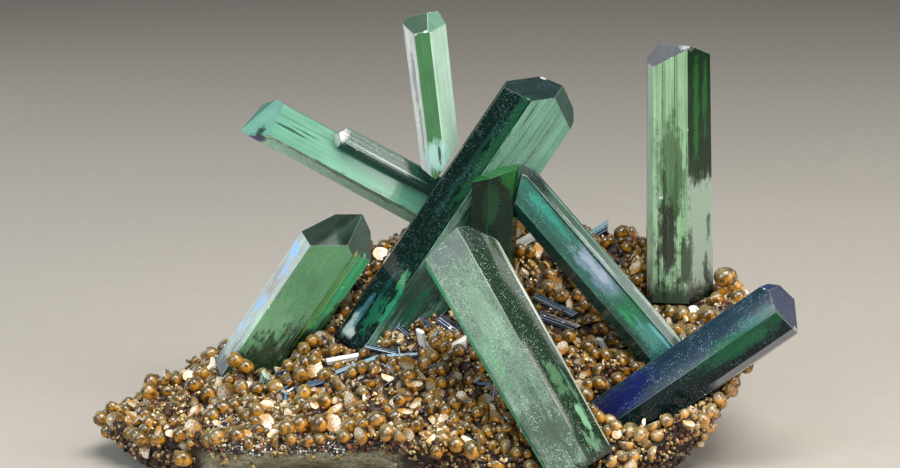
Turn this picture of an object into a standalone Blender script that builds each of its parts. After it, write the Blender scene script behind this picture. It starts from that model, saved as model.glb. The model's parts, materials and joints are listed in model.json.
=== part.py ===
"""Vivianite crystal specimen: long green crystals grown on a loose, rusty rock crusted with small spherules.

Sizes and places are in millimetres. +X is to the right as the specimen is shown, +Y to its back, +Z up.
A crystal's section corners are (across, out): across its axis to the right, and out towards the front.
A cap is a cut across the tip: how far below the tip it meets the axis, how far its face leans from the axis,
and the way it leans, in degrees from across towards out.
"""

import math
import random

import bmesh
import bpy
from mathutils import Matrix, Vector, noise
from mathutils.bvhtree import BVHTree

MM = 0.001

CENTRE = Vector((-0.68, -2.61, 0.0))
GAP = 0.3
FRONT = Vector((0.0, -1.0, 0.0))
DOWN = Vector((0.0, 0.0, -1.0))
CUT_WIDTH = 1e-5

GREEN = (0.10, 0.32, 0.20)
DARK_GREEN = (0.02, 0.10, 0.07)
PALE_GREEN = (0.42, 0.60, 0.48)
TEAL = (0.06, 0.36, 0.34)
INDIGO = (0.04, 0.10, 0.30)
BLUE = (0.16, 0.36, 0.62)
WHITE = (0.80, 0.84, 0.82)
RUST = (0.22, 0.13, 0.06)
CRYSTAL_ROUGHNESS = 0.15
CRYSTAL_CLARITY = 0.6
ROCK_ROUGHNESS = 0.8

# The crystals that grow out of the matrix
CRYSTALS = {
    "great_crystal": {
        "foot": (-14.9, -3.0, 16.6),
        "tip": (18.7, 8.0, 64.8),
        "section": [(-7.15, 1.0), (-2.1, 6.0), (7.15, 1.5), (7.15, -1.0), (2.1, -6.0), (-7.15, -1.5)],
        "caps": [(0.7, 40, 139), (-1.8, 48, 41), (-1.4, 30, -60)],
        "colour": DARK_GREEN,
    },
    "stout_crystal": {
        "foot": (-37.4, 2.0, 11.1),
        "tip": (-17.2, -3.0, 41.8),
        "section": [(-6.65, 0.5), (-4.3, 5.9), (2.85, 6.0), (6.65, -0.5), (4.3, -5.9), (-2.85, -6.0)],
        "caps": [(2.2, 36, 164), (0.6, 34, 18)],
        "colour": GREEN,
    },
    "teal_crystal": {
        "foot": (40.2, -9.5, 15.8),
        "tip": (10.3, -4.0, 49.9),
        "section": [(-3.75, -0.5), (-1.8, 2.6), (2.9, 3.2), (4.5, 0.4), (1.8, -2.6), (-2.4, -3.2)],
        "caps": [(-4.6, 60, 20), (2.4, 38, 165)],
        "colour": TEAL,
    },
    "frosted_crystal": {
        "foot": (22.7, -31.0, 4.5),
        "tip": (0.1, -20.0, 43.0),
        "section": [(-6.35, 2.6), (-5.5, 4.6), (1.95, 5.6), (6.35, 0.4)],
        "foot_scale": 0.9,
        "caps": [(3.0, 27, 246), (0.6, 25, -60), (-2.6, 50, -12)],
        "colour": PALE_GREEN,
    },
    "tower_crystal": {
        "foot": (42.1, 6.0, 25.5),
        "tip": (41.0, 6.0, 72.0),
        "section": [(-5.6, 1.5), (-4.8, 3.6), (1.15, 5.0), (5.6, 0.8)],
        "foot_scale": 1.09,
        "caps": [(-0.9, 35, 150), (0.3, 21, -44)],
        "colour": GREEN,
    },
    "indigo_crystal": {
        "foot": (24.4, -17.0, 5.2),
        "tip": (59.3, -20.0, 31.1),
        "section": [(-5.25, -0.5), (-1.25, 4.4), (4.1, 3.6), (5.25, 0.5), (1.25, -4.4), (-4.1, -3.6)],
        "caps": [(1.6, 18, 108), (-1.9, 45, 180), (-0.7, 35, 0)],
        "colour": INDIGO,
    },
    "shoulder_crystal": {
        "foot": (7.0, -2.2, 21.0),
        "tip": (8.2, -4.0, 51.0),
        "section": [(-4.2, 0.8), (-1.2, 3.2), (3.2, 2.6)],
        "caps": [(0.4, 22, 186)],
        "against": ["great_crystal"],
        "around": "teal_crystal",
        "colour": DARK_GREEN,
    },
}

# The long crystal behind, and the small one grown along it
LONG_CRYSTAL = {
    "foot": (16.6, 20.65, 27.95),
    "tip": (-35.6, 7.0, 59.6),
    "section": [(-4.2, 0.2), (-1.45, 3.9), (4.2, 1.4), (4.2, -0.2), (1.45, -3.9), (-4.2, -1.4)],
    "caps": [(1.9, 33, 67), (1.3, 17, 3)],
}
RIDER_CRYSTAL = {
    "foot": (4.0, 14.5, 40.8),
    "tip": (-21.4, 7.5, 56.0),
    "section": [(-2.0, 0.6), (-0.4, 2.1), (2.0, 1.0)],
    "caps": [(0.6, 40, 150), (1.0, 30, -30)],
}
SPIRE_CRYSTAL = {
    "foot": (-1.0, 9.2, 44.0),
    "tip": (-4.7, 8.0, 76.3),
    "section": [(-3.9, 0.3), (-2.0, 3.1), (0.9, 3.3)],
    "foot_scale": 0.92,
    "caps": [(-0.8, 38, 104), (-1.5, 48, 47), (-1.2, 12, 250)],
    "colour": PALE_GREEN,
}

# The matrix rock, from left to right: the front edge of its top, its ridge, its back edge, and its base
STATIONS = [
    {"x": -61.5, "front": (-12.0, 6.0), "ridge": (-9.5, 7.4), "back": (-7.0, 6.0), "base": (-11.5, -7.5)},
    {"x": -57.0, "front": (-18.0, 6.0), "ridge": (-6.0, 8.0), "back": (1.0, 5.2), "base": (-13.0, -2.0)},
    {"x": -51.0, "front": (-22.5, 6.4), "ridge": (-1.0, 9.8), "back": (8.0, 6.6), "base": (-18.0, 4.0)},
    {"x": -42.0, "front": (-26.5, 7.2), "ridge": (3.5, 13.8), "back": (14.0, 8.6), "base": (-22.0, 10.0)},
    {"x": -30.0, "front": (-28.5, 7.8), "ridge": (8.0, 22.4), "back": (20.0, 11.0), "base": (-21.0, 16.0)},
    {"x": -13.0, "front": (-29.0, 7.8), "ridge": (13.5, 33.4), "back": (27.0, 14.0), "base": (-21.0, 22.0)},
    {"x": 5.0, "front": (-29.5, 7.0), "ridge": (17.0, 36.8), "back": (30.0, 16.0), "base": (-26.0, 25.0)},
    {"x": 22.0, "front": (-28.5, 6.2), "ridge": (17.0, 35.8), "back": (30.0, 16.0), "base": (-26.5, 25.0)},
    {"x": 34.0, "front": (-27.5, 6.8), "ridge": (15.0, 34.4), "back": (27.0, 15.0), "base": (-24.0, 22.0)},
    {"x": 43.0, "front": (-24.5, 11.5), "ridge": (11.0, 31.0), "back": (22.0, 15.0), "base": (-18.0, 16.0)},
    {"x": 48.5, "front": (-17.0, 16.0), "ridge": (7.0, 27.6), "back": (16.0, 17.0), "base": (-9.0, 12.0)},
    {"x": 53.0, "front": (-1.0, 22.0), "ridge": (5.0, 25.0), "back": (9.0, 20.0), "base": (1.5, 8.0)},
]
# How far above the table the rock's underside is, and how deeply its front slope sags, along x
UNDERSIDE = [(-61.5, 5.0), (-57.0, 3.2), (-53.0, 0.0), (37.0, 0.0), (43.0, 5.0), (48.5, 11.0), (53.0, 18.0)]
SAG = [
    (-61.5, 0.0),
    (-42.0, 0.5),
    (-30.0, 2.4),
    (-21.0, 2.0),
    (-14.0, 0.2),
    (4.0, 0.6),
    (20.0, 2.2),
    (34.0, 3.2),
    (48.5, 0.5),
]
STATION_STEP = 3.4
SLOPE_POINTS = 13
BACK_POINTS = 5
WALL_POINTS = 3
# A hollow under the front edge on the left
UNDERCUT = (-43.0, -7.0)
UNDERCUT_RISE = 5.0
UNDERCUT_FULLNESS = 0.5
LIP_REACH = 0.75
LIP_RISE = 0.3
BACK_HUMP = 0.12
# How far the rock swells in and out, and the craggy breaks of its back
ROCK_SWELL = 1.5
SWELL_SCALE = 0.11
ROUGH_SCALE = 0.33
ROUGH_SHARE = 0.6
ROUGH_SHIFT = Vector((31.0, 7.0, 3.0))
CRAG_DEPTH = 3.4
CRAG_SCALE = 0.075
CRAG_LEVEL = 0.25
BASE_WANDER = 3.0
BASE_SCALE = 0.13
LOWEST_SWELL = 0.6
EDGE_EASE = 3.0
LEVEL = 1e-6

# The crust of spherules
SPHERULES = 138
SPHERULE_RADIUS = (1.15, 2.05)
LARGE_SPHERULES = [(50.2, 4.0, 2.3), (-11.0, 9.5, 1.9), (24.5, -22.5, 1.8), (-59.0, -11.0, 1.9)]
SPHERULE_TRIES = 9000
SPHERULE_SWELL = 1.06
SPHERULE_SEAT = 0.25
SPHERULE_SPACING = 1.04
SPHERULE_TURN = (math.pi, 1.0)
STEEPEST = 0.25
CLEAR_OF_BASE = 2.5
SPHERULE_FIELD = {"x": (-60.0, 52.0), "y": (-30.0, 24.0)}
SEED = 11
ABOVE = 100.0

# Small blades lying on the crust: where each meets the rock, the run of its length, its width and thickness
BLADE_LIFT = 0.6
BLADE_CAP = (0.2, 35, 20)


def small_blade(at, run, width, thickness, colour):
    """One small blade's sizes."""
    return {"at": at, "run": run, "width": width, "thickness": thickness, "colour": colour}


BLADES = {
    "white_blade": small_blade((-19.1, -9.0), (6.1, -0.6, 1.3), 1.5, 0.9, WHITE),
    "blue_blade": small_blade((-16.5, -12.3), (7.6, 0.8, 2.7), 1.3, 0.8, BLUE),
    "slate_plate": small_blade((-24.6, -13.6), (5.2, 0.4, 1.6), 1.7, 0.8, INDIGO),
    "green_prism": small_blade((-33.2, -8.4), (0.9, -0.8, 3.4), 2.0, 1.3, PALE_GREEN),
    "thin_blade": small_blade((-12.2, -10.2), (5.8, -0.5, -1.3), 1.0, 0.7, BLUE),
    "dark_blade": small_blade((-8.0, -7.0), (2.8, 0.4, -2.5), 1.4, 0.9, INDIGO),
    "level_blade": small_blade((-8.6, -11.4), (5.7, 0.3, 0.2), 0.9, 0.7, BLUE),
    "white_rod": small_blade((-4.9, -9.0), (-0.9, -0.6, 4.8), 1.5, 1.2, WHITE),
    "fibrous_sheaf": small_blade((-0.4, -5.2), (3.3, -0.8, -2.2), 2.1, 1.4, INDIGO),
    "sky_blade": small_blade((19.1, 0.8), (7.4, -0.6, -3.6), 1.4, 0.9, BLUE),
    "indigo_blade": small_blade((19.6, -1.6), (6.7, -0.4, -2.4), 1.9, 1.0, INDIGO),
    "short_rod": small_blade((27.6, -4.9), (-1.6, -0.4, 3.2), 1.3, 1.0, WHITE),
    "cream_wedge": small_blade((1.2, -9.4), (3.8, 0.3, 2.3), 2.4, 1.6, WHITE),
    "pale_crystal": small_blade((14.1, 13.7), (3.7, 0.0, 2.2), 2.0, 1.6, WHITE),
    "rosy_crystal": small_blade((27.7, 16.1), (3.9, 0.3, 2.4), 1.9, 1.4, BLUE),
}


def smooth_value(keys, values, x):
    """A smooth curve through the values at the keys, read at x."""
    if x <= keys[0]:
        return values[0]
    if x >= keys[-1]:
        return values[-1]
    i = max(k for k in range(len(keys) - 1) if keys[k] <= x)
    span = keys[i + 1] - keys[i]
    t = (x - keys[i]) / span

    def slope(k):
        low = max(k - 1, 0)
        high = min(k + 1, len(keys) - 1)
        return (values[high] - values[low]) / (keys[high] - keys[low])

    a = values[i]
    b = values[i + 1]
    ease = t * t * (3 - 2 * t)
    start = (t - 2 * t**2 + t**3) * slope(i) * span
    end = (t**3 - t**2) * slope(i + 1) * span
    return a + (b - a) * ease + start + end


def level_value(pairs, x):
    """A straight reading between pairs of x and value."""
    for (low, here), (high, there) in zip(pairs, pairs[1:]):
        if x <= high:
            return here + (there - here) * max(0.0, (x - low) / (high - low))
    return pairs[-1][1]


def material(name, colour, roughness, transmission=0.0):
    """A plain finish for one piece."""
    made = bpy.data.materials.new(name)
    made.use_nodes = True
    shader = made.node_tree.nodes["Principled BSDF"]
    shader.inputs["Base Color"].default_value = (*colour, 1.0)
    shader.inputs["Roughness"].default_value = roughness
    shader.inputs["Metallic"].default_value = 0.0
    shader.inputs["Transmission Weight"].default_value = transmission
    return made


def finish_object(name, shape, finish):
    """Turn a bmesh in millimetres into a named object in metres."""
    bmesh.ops.transform(shape, matrix=Matrix.Scale(MM, 4) @ Matrix.Translation(-CENTRE), verts=shape.verts)
    mesh = bpy.data.meshes.new(name)
    shape.to_mesh(mesh)
    shape.free()
    made = bpy.data.objects.new(name, mesh)
    bpy.context.scene.collection.objects.link(made)
    if finish:
        mesh.materials.append(finish)
    return made


def crystal_axes(crystal):
    """The foot and tip of a crystal, and its axis, across and out directions."""
    foot = Vector(crystal["foot"])
    tip = Vector(crystal["tip"])
    axis = (tip - foot).normalized()
    out = (FRONT - axis * FRONT.dot(axis)).normalized()
    return foot, tip, axis, axis.cross(out), out


def full_section(crystal):
    """The section's corners; a half section is completed by turning it half round, as vivianite's is."""
    corners = [Vector(c) for c in crystal["section"]]
    if len(corners) < 6:
        corners += [-c for c in corners]
    return corners


def crystal_faces(crystal):
    """Each flat face of a crystal as a point on it and its outward normal."""
    foot, tip, axis, across, out = crystal_axes(crystal)
    scale = crystal.get("foot_scale", 1.0)
    corners = full_section(crystal)
    faces = []
    for here, there in zip(corners, corners[1:] + corners[:1]):
        top_here = tip + across * here.x + out * here.y
        top_there = tip + across * there.x + out * there.y
        low_here = foot + (across * here.x + out * here.y) * scale
        normal = (top_there - top_here).cross(low_here - top_here).normalized()
        if normal.dot(top_here - tip) < 0:
            normal.negate()
        faces.append((top_here, normal))
    for drop, lean, turn in crystal["caps"]:
        sideways = across * math.cos(math.radians(turn)) + out * math.sin(math.radians(turn))
        normal = axis * math.cos(math.radians(lean)) + sideways * math.sin(math.radians(lean))
        faces.append((tip - axis * drop, normal))
    faces.append((foot, -axis))
    return faces


def cut(shape, point, normal):
    """Cut a closed convex shape by a plane, keeping what lies behind it, and close the cut."""
    geometry = shape.verts[:] + shape.edges[:] + shape.faces[:]
    done = bmesh.ops.bisect_plane(
        shape, geom=geometry, dist=CUT_WIDTH, plane_co=point, plane_no=normal, clear_outer=True
    )
    rim = [e for e in done["geom_cut"] if isinstance(e, bmesh.types.BMEdge)]
    if len(rim) > 2:
        bmesh.ops.contextual_create(shape, geom=rim)


def crystal_shape(crystal, grow=0.0):
    """A crystal as a closed convex solid, with every face moved outwards by grow."""
    foot, tip, axis, across, out = crystal_axes(crystal)
    shape = bmesh.new()
    bmesh.ops.create_cube(shape, size=3 * (tip - foot).length)
    bmesh.ops.translate(shape, vec=(foot + tip) / 2, verts=shape.verts)
    for point, normal in crystal_faces(crystal) + crystal.get("trims", []):
        cut(shape, point + normal * grow, normal)
    bmesh.ops.recalc_face_normals(shape, faces=shape.faces)
    return shape


def trim_against(crystal, neighbour):
    """Trim a crystal where it meets a neighbour, along the neighbour's face that it stands on."""
    foot, tip = crystal_axes(crystal)[:2]
    middle = (foot + tip) / 2
    point, normal = max(crystal_faces(neighbour), key=lambda face: (middle - face[0]).dot(face[1]))
    crystal.setdefault("trims", []).append((point + normal * GAP, -normal))


def make_crystal(name, crystal):
    """Make one crystal as an object of its own."""
    finish = material(name, crystal["colour"], CRYSTAL_ROUGHNESS, CRYSTAL_CLARITY)
    return finish_object(name, crystal_shape(crystal), finish)


def rock_section(x):
    """The outline of the matrix at x, from its front base over the top to its back, and its ridge."""
    keys = [s["x"] for s in STATIONS]

    def read(name, part):
        return smooth_value(keys, [s[name][part] for s in STATIONS], x)

    base_z = level_value(UNDERSIDE, x)
    front = Vector((read("front", 0), read("front", 1)))
    ridge = Vector((read("ridge", 0), read("ridge", 1)))
    back = Vector((read("back", 0), read("back", 1)))
    wander = BASE_WANDER * noise.noise(Vector((x * BASE_SCALE, 0, 0)))
    base_front = Vector((read("base", 0), base_z))
    base_back = Vector((read("base", 1) + wander, base_z))
    rise = 0.0
    if UNDERCUT[0] < x < UNDERCUT[1]:
        share = (x - UNDERCUT[0]) / (UNDERCUT[1] - UNDERCUT[0])
        rise = UNDERCUT_RISE * math.sin(math.pi * share) ** UNDERCUT_FULLNESS
    lip_y = base_front.x + (front.x - base_front.x) * LIP_REACH
    lip = Vector((lip_y, max(base_z + (front.y - base_z) * LIP_RISE, rise)))
    points = [base_front, base_front.lerp(lip, 0.5), lip, lip.lerp(front, 0.5)]
    slope = (ridge - front).normalized()
    sag = Vector((slope.y, -slope.x)) * level_value(SAG, x)
    for k in range(SLOPE_POINTS):
        share = k / SLOPE_POINTS
        points.append(front.lerp(ridge, share) + sag * math.sin(math.pi * share))
    fall = (back - ridge).normalized()
    hump = Vector((-fall.y, fall.x)) * (back - ridge).length * BACK_HUMP
    for k in range(BACK_POINTS + 1):
        share = k / BACK_POINTS
        points.append(ridge.lerp(back, share) + hump * math.sin(math.pi * share))
    points += [back.lerp(base_back, k / WALL_POINTS) for k in range(1, WALL_POINTS + 1)]
    return points, base_z, ridge.x


def rough(place, ridge_y):
    """How far the rock swells out or in at a place; its back is broken into crags."""
    broad = noise.noise(place * SWELL_SCALE)
    fine = noise.noise(place * ROUGH_SCALE + ROUGH_SHIFT)
    swell = ROCK_SWELL * (broad + ROUGH_SHARE * fine)
    behind = min(1.0, max(0.0, (place.y - ridge_y) / EDGE_EASE))
    crag = abs(noise.noise(place * CRAG_SCALE + ROUGH_SHIFT)) - CRAG_LEVEL
    return (swell + CRAG_DEPTH * behind * crag) * min(1.0, place.z / EDGE_EASE)


def rock_shape():
    """The bare matrix: sections joined along x, closed at both ends, and resting on a flat base."""
    shape = bmesh.new()
    first = STATIONS[0]["x"]
    last = STATIONS[-1]["x"]
    count = round((last - first) / STATION_STEP)
    rings = []
    for i in range(count + 1):
        x = first + (last - first) * i / count
        points, base_z, ridge_y = rock_section(x)
        centre = sum(points, Vector((0, 0))) / len(points)
        ring = []
        for p in points:
            place = Vector((x, p.x, p.y))
            if not (base_z == 0.0 and p.y < LEVEL):
                outward = Vector((0, p.x - centre.x, p.y - centre.y)).normalized()
                place += outward * rough(place, ridge_y)
                place.z = max(place.z, LOWEST_SWELL)
            ring.append(shape.verts.new(place))
        rings.append(ring)
    for low, high in zip(rings, rings[1:]):
        size = len(low)
        for k in range(size - 1):
            shape.faces.new((low[k], low[k + 1], high[k + 1], high[k]))
    size = len(rings[0])
    level = [ring for ring in rings if ring[0].co.z < LEVEL and ring[-1].co.z < LEVEL]
    resting = {id(ring) for ring in level}
    for low, high in zip(rings, rings[1:]):
        if id(low) not in resting or id(high) not in resting:
            shape.faces.new((low[size - 1], low[0], high[0], high[size - 1]))
    shape.faces.new([ring[0] for ring in level] + [ring[-1] for ring in reversed(level)])
    shape.faces.new(rings[0])
    shape.faces.new(rings[-1])
    bmesh.ops.recalc_face_normals(shape, faces=shape.faces)
    bmesh.ops.triangulate(shape, faces=[f for f in shape.faces if len(f.verts) == 4])
    return shape


def near_crystal(place, radius, crystals):
    """Whether a spherule at a place would touch one of the crystals."""
    for crystal in crystals:
        reach = max((place - point).dot(normal) for point, normal in crystal_faces(crystal))
        if reach < radius + 2 * GAP:
            return True
    return False


def spherule_places(surface, crystals):
    """Where the large spherules sit on the rock: their centres and radii."""
    draw = random.Random(SEED)
    places = []
    wanted = [(x, y, radius) for x, y, radius in LARGE_SPHERULES]
    tries = 0
    while (len(places) < SPHERULES or wanted) and tries < SPHERULE_TRIES:
        tries += 1
        if wanted:
            x, y, radius = wanted.pop()
        else:
            x = draw.uniform(*SPHERULE_FIELD["x"])
            y = draw.uniform(*SPHERULE_FIELD["y"])
            radius = draw.uniform(*SPHERULE_RADIUS)
        hit, normal = surface.ray_cast(Vector((x, y, ABOVE)), DOWN)[:2]
        if hit is None or normal.z < STEEPEST:
            continue
        place = hit + normal * radius * SPHERULE_SEAT
        if place.z < radius + CLEAR_OF_BASE or near_crystal(place, radius, crystals):
            continue
        if all((place - other).length > SPHERULE_SPACING * (radius + size) for other, size in places):
            places.append((place, radius))
    return places


def spherules_shape(places):
    """All the spherules as small faceted balls, each turned its own way."""
    draw = random.Random(SEED + 1)
    shape = bmesh.new()
    for place, radius in places:
        turn = Matrix.Rotation(draw.uniform(0, SPHERULE_TURN[0]), 4, "Z")
        tip_over = Matrix.Rotation(draw.uniform(0, SPHERULE_TURN[1]), 4, "X")
        seat = Matrix.Translation(place) @ turn @ tip_over
        bmesh.ops.create_icosphere(shape, subdivisions=1, radius=radius * SPHERULE_SWELL, matrix=seat)
    return shape


def cutter(name, shape):
    """A guide solid that only shapes another piece."""
    made = finish_object(name, shape, None)
    made.hide_render = True
    made.display_type = "WIRE"
    return made


def add_boolean(target, operand, operation):
    """Shape one object by another."""
    modifier = target.modifiers.new(operation.title(), "BOOLEAN")
    modifier.operation = operation
    modifier.solver = "EXACT"
    modifier.object = operand


def make_matrix(bare, surface, crystals):
    """The rock with its fused spherules, and a socket for each crystal's foot."""
    places = spherule_places(surface, crystals)
    finish = material("matrix", RUST, ROCK_ROUGHNESS)
    rock = finish_object("matrix", bare, finish)
    add_boolean(rock, cutter("spherule_guide", spherules_shape(places)), "UNION")
    for i, crystal in enumerate(crystals):
        add_boolean(rock, cutter(f"socket_guide_{i}", crystal_shape(crystal, GAP)), "DIFFERENCE")


def blade_crystal(blade, surface):
    """A small flat crystal, seated in the crust."""
    half = Vector(blade["run"]) / 2
    width = blade["width"]
    thickness = blade["thickness"]
    hit = surface.ray_cast(Vector((*blade["at"], ABOVE)), DOWN)[0]
    middle = hit + Vector((0, 0, BLADE_LIFT))
    return {
        "foot": middle - half,
        "tip": middle + half,
        "section": [(-width / 2, 0), (-width / 4, thickness / 2), (width / 4, thickness / 2)],
        "caps": [BLADE_CAP],
        "colour": blade["colour"],
    }


def make_pair():
    """The long crystal and the small one grown along it, as one solid."""
    finish = material("crossed_pair", GREEN, CRYSTAL_ROUGHNESS, CRYSTAL_CLARITY)
    pair = finish_object("crossed_pair", crystal_shape(LONG_CRYSTAL), finish)
    add_boolean(pair, cutter("rider_guide", crystal_shape(RIDER_CRYSTAL)), "UNION")


def main():
    """Clear the scene and build the specimen."""
    for thing in list(bpy.data.objects):
        bpy.data.objects.remove(thing)
    for crystal in CRYSTALS.values():
        for neighbour in crystal.get("against", []):
            trim_against(crystal, CRYSTALS[neighbour])
    trim_against(SPIRE_CRYSTAL, CRYSTALS["great_crystal"])
    trim_against(SPIRE_CRYSTAL, LONG_CRYSTAL)
    trim_against(SPIRE_CRYSTAL, RIDER_CRYSTAL)
    for name, crystal in CRYSTALS.items():
        made = make_crystal(name, crystal)
        if "around" in crystal:
            neighbour = crystal_shape(CRYSTALS[crystal["around"]], GAP)
            add_boolean(made, cutter(f"{name}_guide", neighbour), "DIFFERENCE")
    make_crystal("spire_crystal", SPIRE_CRYSTAL)
    make_pair()
    rock = rock_shape()
    surface = BVHTree.FromBMesh(rock)
    blades = {name: blade_crystal(blade, surface) for name, blade in BLADES.items()}
    for name, blade in blades.items():
        make_crystal(name, blade)
    make_matrix(rock, surface, [*CRYSTALS.values(), LONG_CRYSTAL, *blades.values()])


main()
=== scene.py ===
"""Vivianite specimen: the finish and fine detail of its crystals, its rusty rock and the crust of spherules.

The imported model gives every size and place, in metres. Lengths written here are in millimetres and are
turned into metres by MM. A crystal's own directions are its axis, across it to the right, and out of it
towards the front; places inside a crystal are given from its tip.
"""

import json
import logging
import math
import random
from contextlib import contextmanager
from dataclasses import dataclass, field
from enum import Enum
from typing import Callable, Iterator

import bpy
import numpy as np
from mathutils import Euler, Matrix, Quaternion, Vector, noise
from mathutils.bvhtree import BVHTree


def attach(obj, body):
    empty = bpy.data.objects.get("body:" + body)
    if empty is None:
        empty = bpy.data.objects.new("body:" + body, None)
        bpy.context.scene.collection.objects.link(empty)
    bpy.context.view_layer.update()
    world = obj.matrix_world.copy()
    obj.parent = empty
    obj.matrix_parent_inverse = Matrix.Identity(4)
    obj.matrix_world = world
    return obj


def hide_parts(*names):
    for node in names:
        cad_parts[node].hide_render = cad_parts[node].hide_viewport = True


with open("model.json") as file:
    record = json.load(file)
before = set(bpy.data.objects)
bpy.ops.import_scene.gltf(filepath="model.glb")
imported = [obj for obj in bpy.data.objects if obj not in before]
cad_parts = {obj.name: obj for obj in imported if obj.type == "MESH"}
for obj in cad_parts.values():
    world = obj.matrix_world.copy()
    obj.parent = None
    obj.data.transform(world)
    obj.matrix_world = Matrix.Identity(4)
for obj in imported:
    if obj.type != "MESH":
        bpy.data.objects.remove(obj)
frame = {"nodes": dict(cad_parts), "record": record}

MM = 0.001
BODY = "root"
FRONT = Vector((0.0, -1.0, 0.0))

log = logging.getLogger("vivianite")

Colour = tuple[float, float, float, float]
Socket = bpy.types.NodeSocket


def hue(code: str) -> Colour:
    """Turn a six-figure colour code into the linear colour that a shader takes.

    Args:
        code: The colour as a screen shows it, such as "7ba898".

    Returns:
        Red, green, blue and full cover.
    """
    parts = [int(code[k:k + 2], 16) / 255 for k in (0, 2, 4)]
    linear = [p / 12.92 if p <= 0.04045 else ((p + 0.055) / 1.055) ** 2.4 for p in parts]
    return (*linear, 1.0)


def pick_only(piece: bpy.types.Object) -> None:
    """Select one piece alone and make it the active one."""
    bpy.ops.object.select_all(action="DESELECT")
    piece.select_set(True)
    bpy.context.view_layer.objects.active = piece


@contextmanager
def editing(piece: bpy.types.Object) -> Iterator[None]:
    """Hold a piece in edit mode for a few steps."""
    pick_only(piece)
    bpy.ops.object.mode_set(mode="EDIT")
    bpy.ops.mesh.select_mode(type="FACE")
    yield
    bpy.ops.object.mode_set(mode="OBJECT")


def apply_modifiers(piece: bpy.types.Object) -> None:
    """Apply every modifier of a piece, in order."""
    pick_only(piece)
    for name in [m.name for m in piece.modifiers]:
        bpy.ops.object.modifier_apply(modifier=name)


def select_faces(piece: bpy.types.Object, wanted: Callable[[bpy.types.MeshPolygon], bool]) -> int:
    """Select the faces of a piece that pass a test, outside edit mode.

    Args:
        piece: The piece.
        wanted: The test, which is given one face.

    Returns:
        How many faces are selected.
    """
    mesh = piece.data
    mesh.vertices.foreach_set("select", [False] * len(mesh.vertices))
    mesh.edges.foreach_set("select", [False] * len(mesh.edges))
    picked = [wanted(p) for p in mesh.polygons]
    mesh.polygons.foreach_set("select", picked)
    return sum(picked)


def copy_of(node: bpy.types.Object, name: str) -> bpy.types.Object:
    """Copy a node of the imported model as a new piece, with its doubled corners merged.

    Args:
        node: The node's object, which is left as it is.
        name: The new piece's name.

    Returns:
        The new piece.
    """
    piece = bpy.data.objects.new(name, node.data.copy())
    piece.data.name = name
    bpy.context.scene.collection.objects.link(piece)
    piece.data.materials.clear()
    pick_only(piece)
    if piece.data.has_custom_normals:
        bpy.ops.mesh.customdata_custom_splitnormals_clear()
    with editing(piece):
        bpy.ops.mesh.select_all(action="SELECT")
        bpy.ops.mesh.remove_doubles(threshold=0.001 * MM)
    return piece


def set_attribute(mesh: bpy.types.Mesh, name: str, kind: str, domain: str, values: list) -> None:
    """Store one value for each point or face of a mesh.

    Args:
        mesh: The mesh.
        name: The attribute's name.
        kind: FLOAT, FLOAT_VECTOR or FLOAT_COLOR.
        domain: POINT or FACE.
        values: The values, in order.
    """
    made = mesh.attributes.new(name, kind, domain)
    entry = {"FLOAT": "value", "FLOAT_VECTOR": "vector", "FLOAT_COLOR": "color"}[kind]
    made.data.foreach_set(entry, np.array(values, dtype=np.float32).ravel())


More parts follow.
